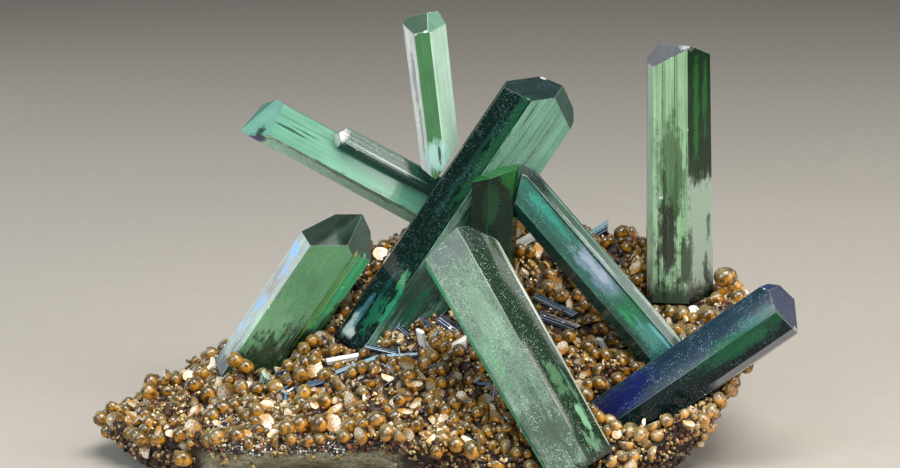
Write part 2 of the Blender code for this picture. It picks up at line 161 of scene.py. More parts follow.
class Graph:
    """A material's node tree, with short calls for the nodes that the finishes share."""

    def __init__(self, name: str) -> None:
        """Start a material with one shader."""
        self.material = bpy.data.materials.new(name)
        self.material.use_nodes = True
        self.tree = self.material.node_tree
        self.shader = self.tree.nodes["Principled BSDF"]
        self.output = self.tree.nodes["Material Output"]

    def node(self, kind: str, **settings: object) -> bpy.types.Node:
        """Add a node and set its options."""
        made = self.tree.nodes.new(kind)
        for name, value in settings.items():
            setattr(made, name, value)
        return made

    def feed(self, socket: Socket, source: object) -> None:
        """Link a socket to its source, or set it where the source is a plain value."""
        if isinstance(source, bpy.types.NodeSocket):
            self.tree.links.new(source, socket)
        else:
            socket.default_value = source

    def set(self, name: str, source: object) -> None:
        """Set one of the shader's own inputs."""
        self.feed(self.shader.inputs[name], source)

    def coordinates(self, middle: Vector = Vector(), turn: Euler = Euler(), unit: float = MM) -> Socket:
        """Object coordinates in millimetres, from a middle and turned to a piece's own directions."""
        source = self.node("ShaderNodeTexCoord").outputs["Object"]
        mapping = self.node("ShaderNodeMapping", vector_type="TEXTURE")
        self.feed(mapping.inputs["Vector"], source)
        mapping.inputs["Location"].default_value = middle
        mapping.inputs["Rotation"].default_value = turn
        mapping.inputs["Scale"].default_value = (unit, unit, unit)
        return mapping.outputs["Vector"]

    def stretched(self, vector: Socket, size: tuple, middle: tuple = (0.0, 0.0, 0.0)) -> Socket:
        """Coordinates measured from a middle in units of a size along each direction."""
        mapping = self.node("ShaderNodeMapping", vector_type="TEXTURE")
        self.feed(mapping.inputs["Vector"], vector)
        mapping.inputs["Location"].default_value = middle
        mapping.inputs["Scale"].default_value = size
        return mapping.outputs["Vector"]

    def noise(self, vector: Socket, size: float | tuple, detail: float = 3.0, rough: float = 0.5) -> Socket:
        """Soft noise from 0 to 1 whose features are about the given size."""
        if isinstance(size, tuple):
            vector = self.stretched(vector, size)
            size = 1.0
        made = self.node("ShaderNodeTexNoise")
        self.feed(made.inputs["Vector"], vector)
        made.inputs["Scale"].default_value = 1.0 / size
        made.inputs["Detail"].default_value = detail
        made.inputs["Roughness"].default_value = rough
        return made.outputs["Fac"]

    def cells(self, vector: Socket, size: float, output: str = "Distance") -> Socket:
        """Cells of about the given size: the distance from each one's middle, or its colour."""
        made = self.node("ShaderNodeTexVoronoi")
        self.feed(made.inputs["Vector"], vector)
        made.inputs["Scale"].default_value = 1.0 / size
        return made.outputs[output]

    def math(self, operation: str, a: object, b: object = 0.0, clamp: bool = False) -> Socket:
        """One sum on two values."""
        made = self.node("ShaderNodeMath", operation=operation, use_clamp=clamp)
        self.feed(made.inputs[0], a)
        self.feed(made.inputs[1], b)
        return made.outputs[0]

    def spread(self, value: Socket, low: float, high: float, start: float = 0.0, end: float = 1.0) -> Socket:
        """Ease a value between low and high into the range from start to end."""
        made = self.node("ShaderNodeMapRange", interpolation_type="SMOOTHSTEP")
        self.feed(made.inputs["Value"], value)
        made.inputs["From Min"].default_value = low
        made.inputs["From Max"].default_value = high
        made.inputs["To Min"].default_value = start
        made.inputs["To Max"].default_value = end
        return made.outputs["Result"]

    def mix(self, factor: object, a: object, b: object, blend: str = "MIX") -> Socket:
        """Mix two colours."""
        made = self.node("ShaderNodeMix", data_type="RGBA", blend_type=blend)
        self.feed(made.inputs[0], factor)
        self.feed(made.inputs[6], a)
        self.feed(made.inputs[7], b)
        return made.outputs[2]

    def attribute(self, name: str, output: str = "Fac") -> Socket:
        """Read an attribute of the mesh."""
        return self.node("ShaderNodeAttribute", attribute_name=name).outputs[output]

    def parts(self, vector: Socket) -> list[Socket]:
        """The three parts of a vector."""
        made = self.node("ShaderNodeSeparateXYZ")
        self.feed(made.inputs[0], vector)
        return list(made.outputs)

    def bump(self, height: Socket, depth: float, strength: object = 1.0) -> None:
        """Raise the surface by a height, over a depth in millimetres."""
        made = self.node("ShaderNodeBump")
        self.feed(made.inputs["Height"], height)
        self.feed(made.inputs["Strength"], strength)
        made.inputs["Distance"].default_value = depth * MM
        self.set("Normal", made.outputs["Normal"])

    def absorb(self, colour: Colour, density: float) -> None:
        """Make the inside take colour from light that goes through it."""
        volume = self.node("ShaderNodeVolumeAbsorption")
        volume.inputs["Color"].default_value = colour
        volume.inputs["Density"].default_value = density
        self.tree.links.new(volume.outputs["Volume"], self.output.inputs["Volume"])


@dataclass(frozen=True)
class Axes:
    """A crystal's own directions, and where its tip is, in metres."""

    tip: Vector
    axis: Vector
    length: float

    @property
    def out(self) -> Vector:
        """The direction out of the crystal towards the front."""
        return (FRONT - self.axis * FRONT.dot(self.axis)).normalized()

    @property
    def across(self) -> Vector:
        """The direction across the crystal, to the right of its axis."""
        return self.axis.cross(self.out)

    @property
    def turn(self) -> Euler:
        """The turn whose X, Y and Z are across, into the crystal's back, and along its axis."""
        return Matrix((self.across, -self.out, self.axis)).transposed().to_euler()

    def angle(self, normal: Vector) -> float:
        """How far a normal is turned about the axis from the front, in degrees, positive to the right."""
        return math.degrees(math.atan2(normal.dot(self.across), normal.dot(self.out)))


@dataclass(frozen=True)
class Look:
    """How one face of a crystal looks."""

    tint: str
    frost: float = 0.05
    speckle: float = 0.0
    streak: float = 0.25


@dataclass(frozen=True)
class Zone:
    """A patch of another tint in a crystal: its middle from the tip, and its reach each way."""

    across: float
    out: float
    drop: float
    reach: tuple[float, float, float]
    tint: str
    ragged: float = 0.5
    strength: float = 1.0
    square: bool = False


@dataclass(frozen=True)
class CrystalFinish:
    """Clear, coloured vivianite, with streaks along its axis, clouds, frosted faces, zones of other tints, and painted
    shade that darkens its foot towards the rock.
    """

    absorbs: str
    density: float
    clarity: float = 0.7
    zones: tuple[Zone, ...] = ()
    # The foot's tint is painted shade where the crystal meets the rock.
    foot_shade_tint: str = "0b1510"
    foot_reach: float = 5.0
    cloud: float = 0.25
    scale: float = 1.0
    dust_tint: str = "c9d8d6"
    pit_tint: str = "33463e"
    shine: float = 0.32

    def make(self, name: str, axes: Axes) -> bpy.types.Material:
        """Make the material for one crystal.

        Args:
            name: The material's name.
            axes: The crystal's own directions.

        Returns:
            The material.
        """
        graph = Graph(name)
        own = graph.coordinates(axes.tip, axes.turn)
        small = graph.stretched(own, (self.scale, self.scale, self.scale))
        frost, speckle, streak = graph.parts(graph.attribute("grain", "Vector"))
        fibres = graph.noise(small, (0.35, 0.35, 14.0), 4.0, 0.6)
        clouds = graph.noise(small, (2.2, 2.2, 5.0), 3.0)
        specks = graph.noise(small, 0.3, 3.0, 0.75)
        dust = graph.node("ShaderNodeTexVoronoi")
        graph.feed(dust.inputs["Vector"], small)
        dust.inputs["Scale"].default_value = 1.0 / 0.27
        torn = graph.noise(own, (1.3, 1.3, 2.6), 4.0, 0.65)
        ragged = graph.math("ADD", graph.math("MULTIPLY", torn, 0.65), graph.math("MULTIPLY", fibres, 0.35))
        tint = graph.attribute("tint", "Color")
        shade = graph.math("MULTIPLY", graph.math("SUBTRACT", clouds, 0.5), 2.0 * self.cloud)
        lines = graph.math("MULTIPLY", graph.math("SUBTRACT", fibres, 0.5), graph.math("MULTIPLY", streak, 2.0))
        grit = graph.math("MULTIPLY", graph.math("SUBTRACT", specks, 0.5), graph.math("MULTIPLY", speckle, 1.6))
        brightness = graph.math("ADD", graph.math("ADD", shade, lines), graph.math("ADD", grit, 1.0))
        tint = graph.mix(1.0, tint, self._grey(graph, brightness), "MULTIPLY")
        pits = graph.math("MULTIPLY", graph.spread(specks, 0.46, 0.36), graph.math("MULTIPLY", speckle, 0.7))
        tint = graph.mix(pits, tint, hue(self.pit_tint))
        for zone in self.zones:
            tint = graph.mix(self._cover(graph, own, ragged, zone), tint, hue(zone.tint))
        # Painted shade: the foot is darkened towards the rock.
        tint = graph.mix(self._painted_foot_shade(graph, own, ragged, axes), tint, hue(self.foot_shade_tint))
        dots = graph.math("MULTIPLY", graph.spread(dust.outputs["Distance"], 0.45, 0.12), graph.spread(clouds, 0.35, 0.6))
        dots = graph.math("MULTIPLY", dots, graph.spread(graph.parts(dust.outputs["Color"])[0], 0.4, 0.95))
        tint = graph.mix(graph.math("MULTIPLY", dots, speckle), tint, hue(self.dust_tint))
        graph.set("Base Color", tint)
        depth = graph.node("ShaderNodeRGBToBW")
        graph.feed(depth.inputs[0], tint)
        rough = graph.math("ADD", graph.math("MULTIPLY", frost, 0.5), graph.spread(clouds, 0.3, 0.8, 0.02, 0.08))
        graph.set("Roughness", rough)
        clear = graph.spread(depth.outputs[0], 0.0, 0.14, 0.3 * self.clarity, self.clarity)
        graph.set("Transmission Weight", graph.math("MULTIPLY", clear, graph.spread(frost, 0.0, 1.0, 1.0, 0.1)))
        graph.set("IOR", 1.6)
        graph.set("Specular IOR Level", self.shine)
        relief = graph.math("ADD", graph.math("MULTIPLY", fibres, streak), graph.math("MULTIPLY", specks, frost))
        graph.bump(relief, 0.05, 0.5)
        graph.absorb(hue(self.absorbs), self.density)
        return graph.material

    @staticmethod
    def _grey(graph: Graph, value: Socket) -> Socket:
        """Turn a value into a grey colour."""
        made = graph.node("ShaderNodeCombineColor")
        for socket in made.inputs:
            graph.feed(socket, value)
        return made.outputs[0]

    @staticmethod
    def _cover(graph: Graph, own: Socket, ragged: Socket, zone: Zone) -> Socket:
        """How much of a zone's tint covers each place."""
        place = graph.stretched(own, zone.reach, (zone.across, -zone.out, -zone.drop))
        edge = graph.math("MULTIPLY", graph.math("SUBTRACT", ragged, 0.5), 4.0 * zone.ragged)
        if zone.square:
            across, out, up = [graph.math("ABSOLUTE", part) for part in graph.parts(place)]
            reach = graph.math("MAXIMUM", graph.math("MAXIMUM", across, out), up)
        else:
            length = graph.node("ShaderNodeVectorMath", operation="LENGTH")
            graph.feed(length.inputs[0], place)
            reach = length.outputs["Value"]
        distance = graph.math("ADD", reach, edge)
        return graph.spread(distance, 1.12 if zone.square else 1.3, 0.85 if zone.square else 0.55, 0.0, zone.strength)

    def _painted_foot_shade(self, graph: Graph, own: Socket, ragged: Socket, axes: Axes) -> Socket:
        """How much painted shade darkens the foot, raggedly, towards the rock."""
        up = graph.parts(own)[2]
        edge = graph.math("MULTIPLY", graph.math("SUBTRACT", ragged, 0.5), 2.5 * self.foot_reach)
        height = graph.math("ADD", graph.math("ADD", up, edge), axes.length / MM)
        return graph.spread(height, self.foot_reach, 0.3 * self.foot_reach, 0.0, 0.92)


@dataclass(frozen=True)
class Lamella:
    """A shallow growth step along one side of a crystal: a strip raised, or let in where its height is negative."""

    side: float
    offset: float
    width: float
    height: float


@dataclass
class Crystal:
    """One crystal: a copy of its node with growth steps, fine bevels and chipped edges, dressed face by face."""

    node: str
    slot: str
    sides: dict[int, Look]
    tips: dict[int, Look]
    finish: CrystalFinish
    bevel: float = 0.09
    chips: int = 6
    chip_size: float = 0.45
    lamellae: tuple[Lamella, ...] = ()
    chip_tint: str = "c4d6cf"
    edge_tint: str = "b4cdc2"
    edge_share: float = 0.3

    MAIN = 0
    BEVELLED = 1
    CHIPPED = 2

    def build(self) -> bpy.types.Object:
        """Build and dress the crystal.

        Returns:
            The finished piece.
        """
        piece = copy_of(frame["nodes"][self.node], f"{self.node}_cut")
        with editing(piece):
            bpy.ops.mesh.select_all(action="SELECT")
            bpy.ops.mesh.dissolve_limited(angle_limit=math.radians(0.8))
        axes = self.measure(piece)
        for _ in range(3):
            piece.data.materials.append(None)
        for lamella in self.lamellae:
            self._grow(piece, axes, lamella)
        self._bevel(piece)
        self._chip(piece)
        self._mark(piece, axes)
        piece.data.materials.clear()
        piece.data.materials.append(self.finish.make(f"{self.node}_finish", axes))
        piece.data.polygons.foreach_set("material_index", [0] * len(piece.data.polygons))
        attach(piece, BODY)
        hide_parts(self.node)
        log.info("%s: %d faces", piece.name, len(piece.data.polygons))
        return piece

    @staticmethod
    def measure(piece: bpy.types.Object) -> Axes:
        """Find a crystal's axis from its long edges, and its tip."""
        mesh = piece.data
        runs = [mesh.vertices[e.vertices[1]].co - mesh.vertices[e.vertices[0]].co for e in mesh.edges]
        longest = max(run.length for run in runs)
        axis = Vector()
        for run in runs:
            if run.length > 0.75 * longest:
                axis += run if run.z > 0 else -run
        axis.normalize()
        heights = [v.co.dot(axis) for v in mesh.vertices]
        middle = sum((v.co for v in mesh.vertices), Vector()) / len(mesh.vertices)
        tip = middle + axis * (max(heights) - middle.dot(axis))
        return Axes(tip, axis, max(heights) - min(heights))

    def _grow(self, piece: bpy.types.Object, axes: Axes, lamella: Lamella) -> None:
        """Cut a strip along one side and raise it or let it in."""
        def on_side(face: bpy.types.MeshPolygon) -> bool:
            if abs(face.normal.dot(axes.axis)) > 0.2 or face.material_index != self.MAIN:
                return False
            return abs((axes.angle(face.normal) - lamella.side + 180) % 360 - 180) < 12

        faces = [p for p in piece.data.polygons if on_side(p)]
        if not faces:
            return
        face = max(faces, key=lambda p: p.area)
        normal = face.normal.copy()
        middle = face.center.copy()
        along = normal.cross(axes.axis).normalized()
        for edge in (-0.5, 0.5):
            place = middle + along * (lamella.offset + edge * lamella.width) * MM
            select_faces(piece, on_side)
            with editing(piece):
                bpy.ops.mesh.bisect(plane_co=place, plane_no=along)

        def in_strip(part: bpy.types.MeshPolygon) -> bool:
            shift = (part.center - middle).dot(along) / MM - lamella.offset
            return on_side(part) and abs(shift) < 0.5 * lamella.width

        if select_faces(piece, in_strip):
            with editing(piece):
                bpy.ops.mesh.extrude_region_move(
                    TRANSFORM_OT_translate={"value": normal * lamella.height * MM, "orient_type": "GLOBAL"}
                )

    def _bevel(self, piece: bpy.types.Object) -> None:
        """Take a fine bevel off every sharp edge."""
        with editing(piece):
            bpy.ops.mesh.select_mode(type="EDGE")
            bpy.ops.mesh.select_all(action="DESELECT")
            bpy.ops.mesh.edges_select_sharp(sharpness=math.radians(9))
            bpy.ops.mesh.bevel(
                offset=self.bevel * MM, segments=1, affect="EDGES", material=self.BEVELLED, clamp_overlap=True
            )

    def _chip(self, piece: bpy.types.Object) -> None:
        """Break small chips from the edges."""
        draw = random.Random(self.node)
        mesh = piece.data
        bevels = [p for p in mesh.polygons if p.material_index == self.BEVELLED and p.area > 0.05 * MM * MM]
        cutters = []
        for _ in range(self.chips):
            face = draw.choice(bevels)
            corners = [mesh.vertices[k].co for k in face.vertices]
            place = corners[0].lerp(corners[len(corners) // 2], draw.uniform(0.1, 0.9))
            radius = self.chip_size * draw.uniform(0.6, 1.3) * MM
            bpy.ops.object.select_all(action="DESELECT")
            bpy.ops.mesh.primitive_ico_sphere_add(
                subdivisions=1, radius=radius, location=place + face.normal * radius * draw.uniform(0.55, 0.9)
            )
            cutter = bpy.context.active_object
            with editing(cutter):
                bpy.ops.mesh.select_all(action="SELECT")
                bpy.ops.transform.resize(value=[draw.uniform(0.7, 1.5) for _ in range(3)], center_override=place)
                bpy.ops.transform.vertex_random(offset=0.35 * radius, seed=draw.randrange(1000))
            cutters.append(cutter)
        if not cutters:
            return
        for cutter in cutters:
            for _ in range(3):
                cutter.data.materials.append(None)
            cutter.data.polygons.foreach_set("material_index", [self.CHIPPED] * len(cutter.data.polygons))
            modifier = piece.modifiers.new("chip", "BOOLEAN")
            modifier.object = cutter
            modifier.operation = "DIFFERENCE"
            modifier.solver = "EXACT"
        apply_modifiers(piece)
        for cutter in cutters:
            bpy.data.objects.remove(cutter)

    def look_of(self, face: bpy.types.MeshPolygon, axes: Axes) -> Look:
        """The look of the side or tip that a face belongs to."""
        table = self.sides if face.normal.dot(axes.axis) < 0.3 else self.tips
        angle = axes.angle(face.normal)
        return table[min(table, key=lambda key: abs((angle - key + 180) % 360 - 180))]

    def _mark(self, piece: bpy.types.Object, axes: Axes) -> None:
        """Store each face's tint, and how frosted, speckled and streaked it is."""
        tints = []
        grains = []
        edge = Vector(hue(self.edge_tint))
        for face in piece.data.polygons:
            look = self.look_of(face, axes)
            tint = Vector(hue(look.tint))
            grain = (look.frost, look.speckle, look.streak)
            if face.material_index == self.BEVELLED:
                tint = tint.lerp(edge, self.edge_share)
                grain = (0.35, 0.4, 0.1)
            elif face.material_index == self.CHIPPED:
                tint = Vector(hue(self.chip_tint))
                grain = (0.6, 0.5, 0.0)
            tints.append(tuple(tint))
            grains.append(grain)
        set_attribute(piece.data, "tint", "FLOAT_COLOR", "FACE", tints)
        set_attribute(piece.data, "grain", "FLOAT_VECTOR", "FACE", grains)


@dataclass
class PairedCrystals(Crystal):
    """The long crystal with the small one grown along it, which has looks of its own."""

    rider_tip: Vector = field(default_factory=lambda: Vector((-20.7, 10.1, 56.0)) * MM)
    rider_foot: Vector = field(default_factory=lambda: Vector((4.7, 17.1, 40.8)) * MM)
    rider_radius: float = 2.5
    rider_sides: dict[int, Look] = field(default_factory=dict)
    rider_tips: dict[int, Look] = field(default_factory=dict)

    def look_of(self, face: bpy.types.MeshPolygon, axes: Axes) -> Look:
        """The look of a face of the long crystal or of the one that rides on it."""
        run = (self.rider_tip - self.rider_foot).normalized()
        offset = face.center - self.rider_foot
        along = offset.dot(run)
        beyond = along > (self.rider_tip - self.rider_foot).length + 1.0 * MM
        if beyond or (offset - run * along).length > self.rider_radius * MM:
            return super().look_of(face, axes)
        table = self.rider_sides if face.normal.dot(run) < 0.3 else self.rider_tips
        angle = axes.angle(face.normal)
        return table[min(table, key=lambda key: abs((angle - key + 180) % 360 - 180))]


def crystals() -> list[Crystal]:
    """The ten crystals, with their looks face by face.

    Returns:
        The crystals, ready to build.
    """
    return [
        Crystal(
            node="great_crystal",
            slot="deep_green_crystal",
            sides={
                -45: Look("051914", 0.03, 0.75, 0.9),
                # The pale mint of the right face is partly painted reflection of the lamps above it.
                26: Look("84c0a8", 0.10, 0.08, 0.85),
                90: Look("5f9a84", 0.10, 0.0, 0.4),
                135: Look("4d8571", 0.10, 0.0, 0.3),
                -154: Look("3f7362", 0.10, 0.0, 0.3),
                -90: Look("0f2a24", 0.05, 0.5, 0.5),
            },
            tips={-49: Look("18282a", 0.2, 0.4, 0.1), 49: Look("3f554e", 0.2, 0.3, 0.1), 150: Look("3d5a50", 0.1)},
            finish=CrystalFinish(
                absorbs="0fb878",
                density=350.0,
                clarity=0.66,
                zones=(
                    Zone(-3.4, 5.3, 15.0, (0.9, 2.0, 15.0), "17482f", 1.2, 0.75),
                    Zone(-5.0, 3.8, 24.0, (0.4, 1.5, 12.0), "123a33", 1.2, 0.6),
                    Zone(5.5, 3.0, 33.0, (8.0, 8.0, 15.0), "0d2c1b", 0.45, 0.92),
                    Zone(5.8, 3.0, 19.5, (2.4, 4.0, 3.2), "2b6e33", 0.7, 0.75),
                    Zone(0.5, 4.6, 46.0, (6.0, 6.0, 9.0), "061f18", 0.6, 0.9),
                    # These four emerald patches near the foot are painted internal reflections.
                    Zone(-4.2, 4.4, 53.0, (1.1, 2.5, 3.4), "177a58", 1.7, 0.85),
                    Zone(-2.6, 5.4, 50.5, (0.6, 2.0, 3.4), "3cb48c", 1.5, 0.8),
                    Zone(1.2, 4.3, 50.5, (0.9, 2.0, 5.0), "1c7a5a", 1.5, 0.8),
                    Zone(-3.4, 4.9, 45.5, (0.5, 2.0, 1.6), "4cc084", 1.6, 0.75),
                    Zone(-5.0, 3.8, 47.0, (0.4, 2.0, 4.5), "0f3c44", 1.4, 0.6),
                    Zone(-6.2, 2.5, 54.8, (0.6, 1.5, 3.8), "4f8fa4", 1.2, 0.8),
                    Zone(-6.6, 2.1, 57.4, (0.7, 1.4, 2.6), "c2dfe6", 1.0, 0.95),
                    Zone(-5.7, 2.9, 58.6, (1.0, 1.2, 0.9), "e4f4f6", 1.0, 0.9),
                    Zone(-1.35, 5.3, 7.8, (0.15, 1.5, 3.4), "1f4236", 0.3, 0.9),
                    Zone(-0.2, 5.0, 13.0, (0.12, 1.5, 4.2), "2f5c4a", 0.35, 0.8),
                    Zone(1.4, 4.3, 11.0, (0.10, 1.5, 3.8), "3c6a58", 0.35, 0.7),
                    Zone(-2.3, -2.9, 0.6, (0.8, 0.7, 0.35), "f4f6f2", 0.5, 0.95),
                ),
                foot_shade_tint="06100e",
                foot_reach=1.6,
                dust_tint="9cc2cc",
                pit_tint="030808",
                shine=0.1,
            ),
            lamellae=(Lamella(26, -1.6, 0.35, -0.10), Lamella(26, 1.9, 0.9, 0.10)),
            chips=8,
        ),
        Crystal(
            node="stout_crystal",
            slot="green_crystal",
            sides={
                # The pale grey of the left narrow face is partly frost and partly painted reflection of the lamp at
                # the left.
                -66: Look("8c9c96", 0.8, 0.6, 0.75),
                -1: Look("68a876", 0.16, 0.3, 0.15),
                60: Look("70c89c", 0.10, 0.0, 0.8),
                114: Look("6a9a78", 0.12),
                179: Look("5f9070", 0.12),
                -120: Look("6a9a7a", 0.12),
            },
            tips={-74: Look("18231f", 0.12, 0.3, 0.1), 72: Look("505f58", 0.15, 0.2, 0.3)},
            finish=CrystalFinish(
                absorbs="3cc478",
                density=220.0,
                clarity=0.6,
                zones=(
                    Zone(-6.0, 2.4, 10.2, (0.6, 2.0, 1.6), "62a4ec", 1.8, 0.8),
                    Zone(-5.9, 2.6, 16.5, (1.0, 2.0, 3.6), "7e7064", 1.8, 0.7),
                    Zone(-5.6, 3.2, 14.0, (0.4, 1.0, 1.8), "74a6dc", 2.0, 0.7),
                    Zone(-5.8, 2.8, 21.8, (0.5, 2.0, 1.6), "74a6dc", 2.0, 0.7),
                    Zone(-6.1, 2.0, 28.0, (0.6, 2.0, 1.8), "84acd8", 2.0, 0.7),
                    Zone(-2.6, 6.0, 24.0, (3.0, 1.5, 6.0), "94d09c", 1.0, 0.65),
                    Zone(-5.2, 4.0, 31.0, (0.3, 1.0, 5.0), "4c6a54", 0.8, 0.7),
                    Zone(3.0, 5.2, 24.0, (2.4, 3.0, 4.4), "141d0e", 1.1, 0.96),
                    Zone(0.2, 6.0, 29.6, (3.4, 3.0, 4.4), "1a2614", 1.1, 0.96),
                    Zone(-3.8, 5.4, 33.6, (2.0, 3.0, 3.4), "1c2c1a", 1.0, 0.9),
                    Zone(-1.0, 6.0, 12.0, (1.6, 1.0, 2.4), "4d8a5c", 1.1, 0.5),
                    Zone(-3.0, 6.0, 20.0, (1.2, 1.0, 3.0), "74aa7c", 1.1, 0.5),
                    Zone(3.25, 5.0, 12.0, (0.5, 3.0, 9.5), "b4dc84", 0.5, 0.92),
                    Zone(3.95, 3.8, 11.0, (0.15, 3.0, 8.0), "ecf6e8", 0.3, 0.9),
                    Zone(5.0, 2.2, 10.0, (0.55, 3.0, 7.5), "7cecb8", 0.7, 0.9),
                ),
                foot_shade_tint="10170d",
                foot_reach=4.5,
                dust_tint="b4c8c0",
            ),
            lamellae=(Lamella(60, -0.9, 0.5, 0.14), Lamella(60, 0.6, 0.3, -0.12)),
        ),
        Crystal(
            node="teal_crystal",
            slot="teal_crystal",
            sides={
                # The dark tint of the lower left side is painted shade.
                -58: Look("1a403a", 0.08, 0.4, 0.9),
                -7: Look("2c7c70", 0.10, 1.0, 0.8),
                60: Look("41584f", 0.08, 0.2, 1.2),
                132: Look("5f8a80", 0.12),
                172: Look("35786c", 0.12),
                -117: Look("2f665c", 0.12),
            },
            tips={70: Look("16211f", 0.1, 0.3), -75: Look("20342f", 0.12, 0.3)},
            finish=CrystalFinish(
                absorbs="10c8a8",
                density=260.0,
                clarity=0.6,
                zones=(
                    Zone(0.9, 2.9, 9.0, (0.9, 1.2, 6.5), "2fb4a4", 1.1, 0.75),
                    Zone(-1.6, 2.5, 12.0, (0.8, 2.0, 9.0), "174c42", 1.0, 0.8),
                    Zone(0.6, 2.8, 23.4, (1.6, 1.5, 6.4), "8fb0cc", 0.9, 0.85),
                    Zone(0.7, 2.8, 22.0, (0.6, 1.5, 5.0), "ccd8ee", 1.4, 0.8),
                    Zone(0.1, 2.8, 32.0, (2.4, 1.6, 3.6), "12804c", 1.5, 0.9),
                    Zone(-0.8, 2.8, 33.0, (0.7, 1.6, 2.6), "22b478", 1.9, 0.8),
                    Zone(0.6, 2.8, 38.0, (1.6, 1.5, 3.4), "58b0a8", 1.0, 0.85),
                    Zone(3.6, 1.4, 38.0, (0.3, 1.6, 9.0), "c8d8d0", 0.5, 0.75),
                    Zone(2.6, 2.4, 18.0, (0.25, 0.8, 8.0), "a8beb4", 0.8, 0.8),
                    Zone(-2.0, 2.4, 33.0, (0.8, 2.0, 7.0), "12302a", 1.0, 0.85),
                    Zone(2.02, 3.05, 21.0, (0.2, 0.9, 23.0), "0a1414", 0.12, 0.97),
                    Zone(3.0, 1.8, 3.4, (1.2, 1.8, 4.2), "0d1716", 0.4, 0.95),
                    Zone(1.55, 3.0, 39.4, (0.3, 1.0, 3.2), "7fe8ea", 0.3, 0.85),
                ),
                foot_shade_tint="0d1a17",
                foot_reach=1.4,
                dust_tint="a8d8dc",
                pit_tint="143a32",
                shine=0.28,
            ),
            lamellae=(Lamella(60, -0.8, 0.5, -0.16),),
            chips=7,
        ),
        Crystal(
            node="frosted_crystal",
            slot="pale_green_crystal",
            sides={
                -67: Look("5cba8c", 0.08, 0.0, 0.4),
                -8: Look("6a8576", 0.5, 1.3, 0.12),
                50: Look("142818", 0.14, 0.8, 0.4),
                90: Look("c4d8cc", 0.3, 0.3, 0.2),
                113: Look("4f7858", 0.2),
                172: Look("5f846c", 0.3, 0.2),
                -130: Look("4a7254", 0.2),
                -90: Look("86ab96", 0.2),
            },
            tips={-156: Look("3f4d48", 0.25, 0.4), 150: Look("222d29", 0.2, 0.3), 102: Look("4a5852", 0.25, 0.3)},
            finish=CrystalFinish(
                absorbs="35c080",
                density=380.0,
                clarity=0.36,
                zones=(
                    Zone(-2.5, 5.0, 2.0, (4.6, 3.0, 4.4), "5e6a6c", 1.0, 0.7),
                    Zone(-1.6, 5.0, 15.0, (1.8, 3.0, 7.0), "86aa90", 1.2, 0.45),
                    Zone(-4.0, 5.0, 23.0, (1.0, 3.0, 5.0), "5f9a72", 1.0, 0.5),
                    Zone(-2.0, 5.0, 38.0, (5.0, 3.0, 6.5), "38483e", 1.1, 0.75),
                    Zone(-5.9, 3.6, 13.0, (0.35, 1.2, 10.0), "6fd8a4", 0.4, 0.85),
                    Zone(3.4, 2.8, 31.0, (0.8, 1.5, 3.4), "5f8f6a", 1.8, 0.6),
                    Zone(4.0, 2.0, 38.2, (0.5, 1.3, 2.8), "8cc4a2", 1.8, 0.8),
                    Zone(3.4, 2.6, 43.0, (1.0, 1.5, 1.8), "79a98a", 1.8, 0.7),
                    Zone(4.6, 1.4, 34.0, (0.25, 1.0, 6.0), "5c8c70", 1.6, 0.7),
                    Zone(3.6, 3.0, 2.0, (2.6, 2.5, 3.2), "1f2b28", 0.5, 0.9),
                    # This thin pale line along the right edge is a painted highlight.
                    Zone(5.62, 0.1, 22.0, (0.12, 0.7, 23.0), "e2ece6", 0.15, 0.9),
                ),
                foot_shade_tint="1d241d",
                foot_reach=1.6,
                cloud=0.4,
                dust_tint="c4d8cc",
                pit_tint="3c5248",
                shine=0.3,
            ),
            chips=9,
        ),
        Crystal(
            node="tower_crystal",
            slot="green_crystal",
            sides={
                # The pale tints of the two left faces are partly painted reflection of the lamps.
                -69: Look("b5d2b8", 0.2, 0.1, 0.3),
                -13: Look("a4d2a6", 0.14, 0.15, 0.8),
                43: Look("05200b", 0.05, 0.2, 0.9),
                90: Look("4a7850", 0.1),
                111: Look("4f8056", 0.12),
                167: Look("4f845a", 0.12),
                -137: Look("457a4e", 0.12),
                -90: Look("76a07c", 0.12),
            },
            tips={-60: Look("6a6c76", 0.3, 0.3, 0.6), 134: Look("4a5c54", 0.25, 0.2)},
            finish=CrystalFinish(
                absorbs="2cc85a",
                density=260.0,
                clarity=0.6,
                zones=(
                    Zone(-1.6, 4.3, 22.5, (2.8, 3.0, 10.0), "3c6436", 0.9, 0.8),
                    Zone(2.9, 3.6, 12.0, (0.5, 1.5, 9.0), "166424", 1.3, 0.75),
                    Zone(4.6, 1.9, 9.0, (0.5, 1.5, 6.0), "15602a", 1.0, 0.7),
                    Zone(3.9, 2.7, 35.0, (2.7, 2.6, 10.6), "b4caba", 0.4, 0.95, square=True),
                    Zone(5.2, 1.6, 33.0, (0.4, 1.0, 3.0), "2a3c2c", 1.2, 0.8),
                    Zone(4.8, 2.0, 41.5, (0.7, 1.0, 3.0), "1f2c20", 1.2, 0.8),
                    Zone(-2.4, 4.2, 36.0, (2.3, 3.0, 8.2), "0c1208", 1.0, 0.97),
                    Zone(0.9, 4.8, 39.0, (1.2, 2.0, 5.0), "16240f", 1.1, 0.9),
                    Zone(-2.9, 4.0, 25.5, (0.35, 2.0, 4.5), "1c3016", 1.0, 0.8),
                    Zone(-0.9, 4.5, 26.0, (0.5, 1.5, 5.0), "284a24", 1.0, 0.8),
                    Zone(-0.98, 4.45, 10.5, (0.10, 1.0, 12.0), "1e301b", 0.15, 0.9),
                    Zone(-0.6, 4.5, 12.0, (0.08, 1.0, 13.0), "2a4226", 0.15, 0.85),
                    Zone(-1.5, 4.35, 15.0, (0.08, 1.0, 9.0), "3a5a34", 0.2, 0.7),
                    Zone(1.3, 1.8, 0.5, (1.1, 2.6, 0.8), "e4eae6", 0.7, 0.95),
                ),
                foot_shade_tint="0c100a",
                foot_reach=4.5,
            ),
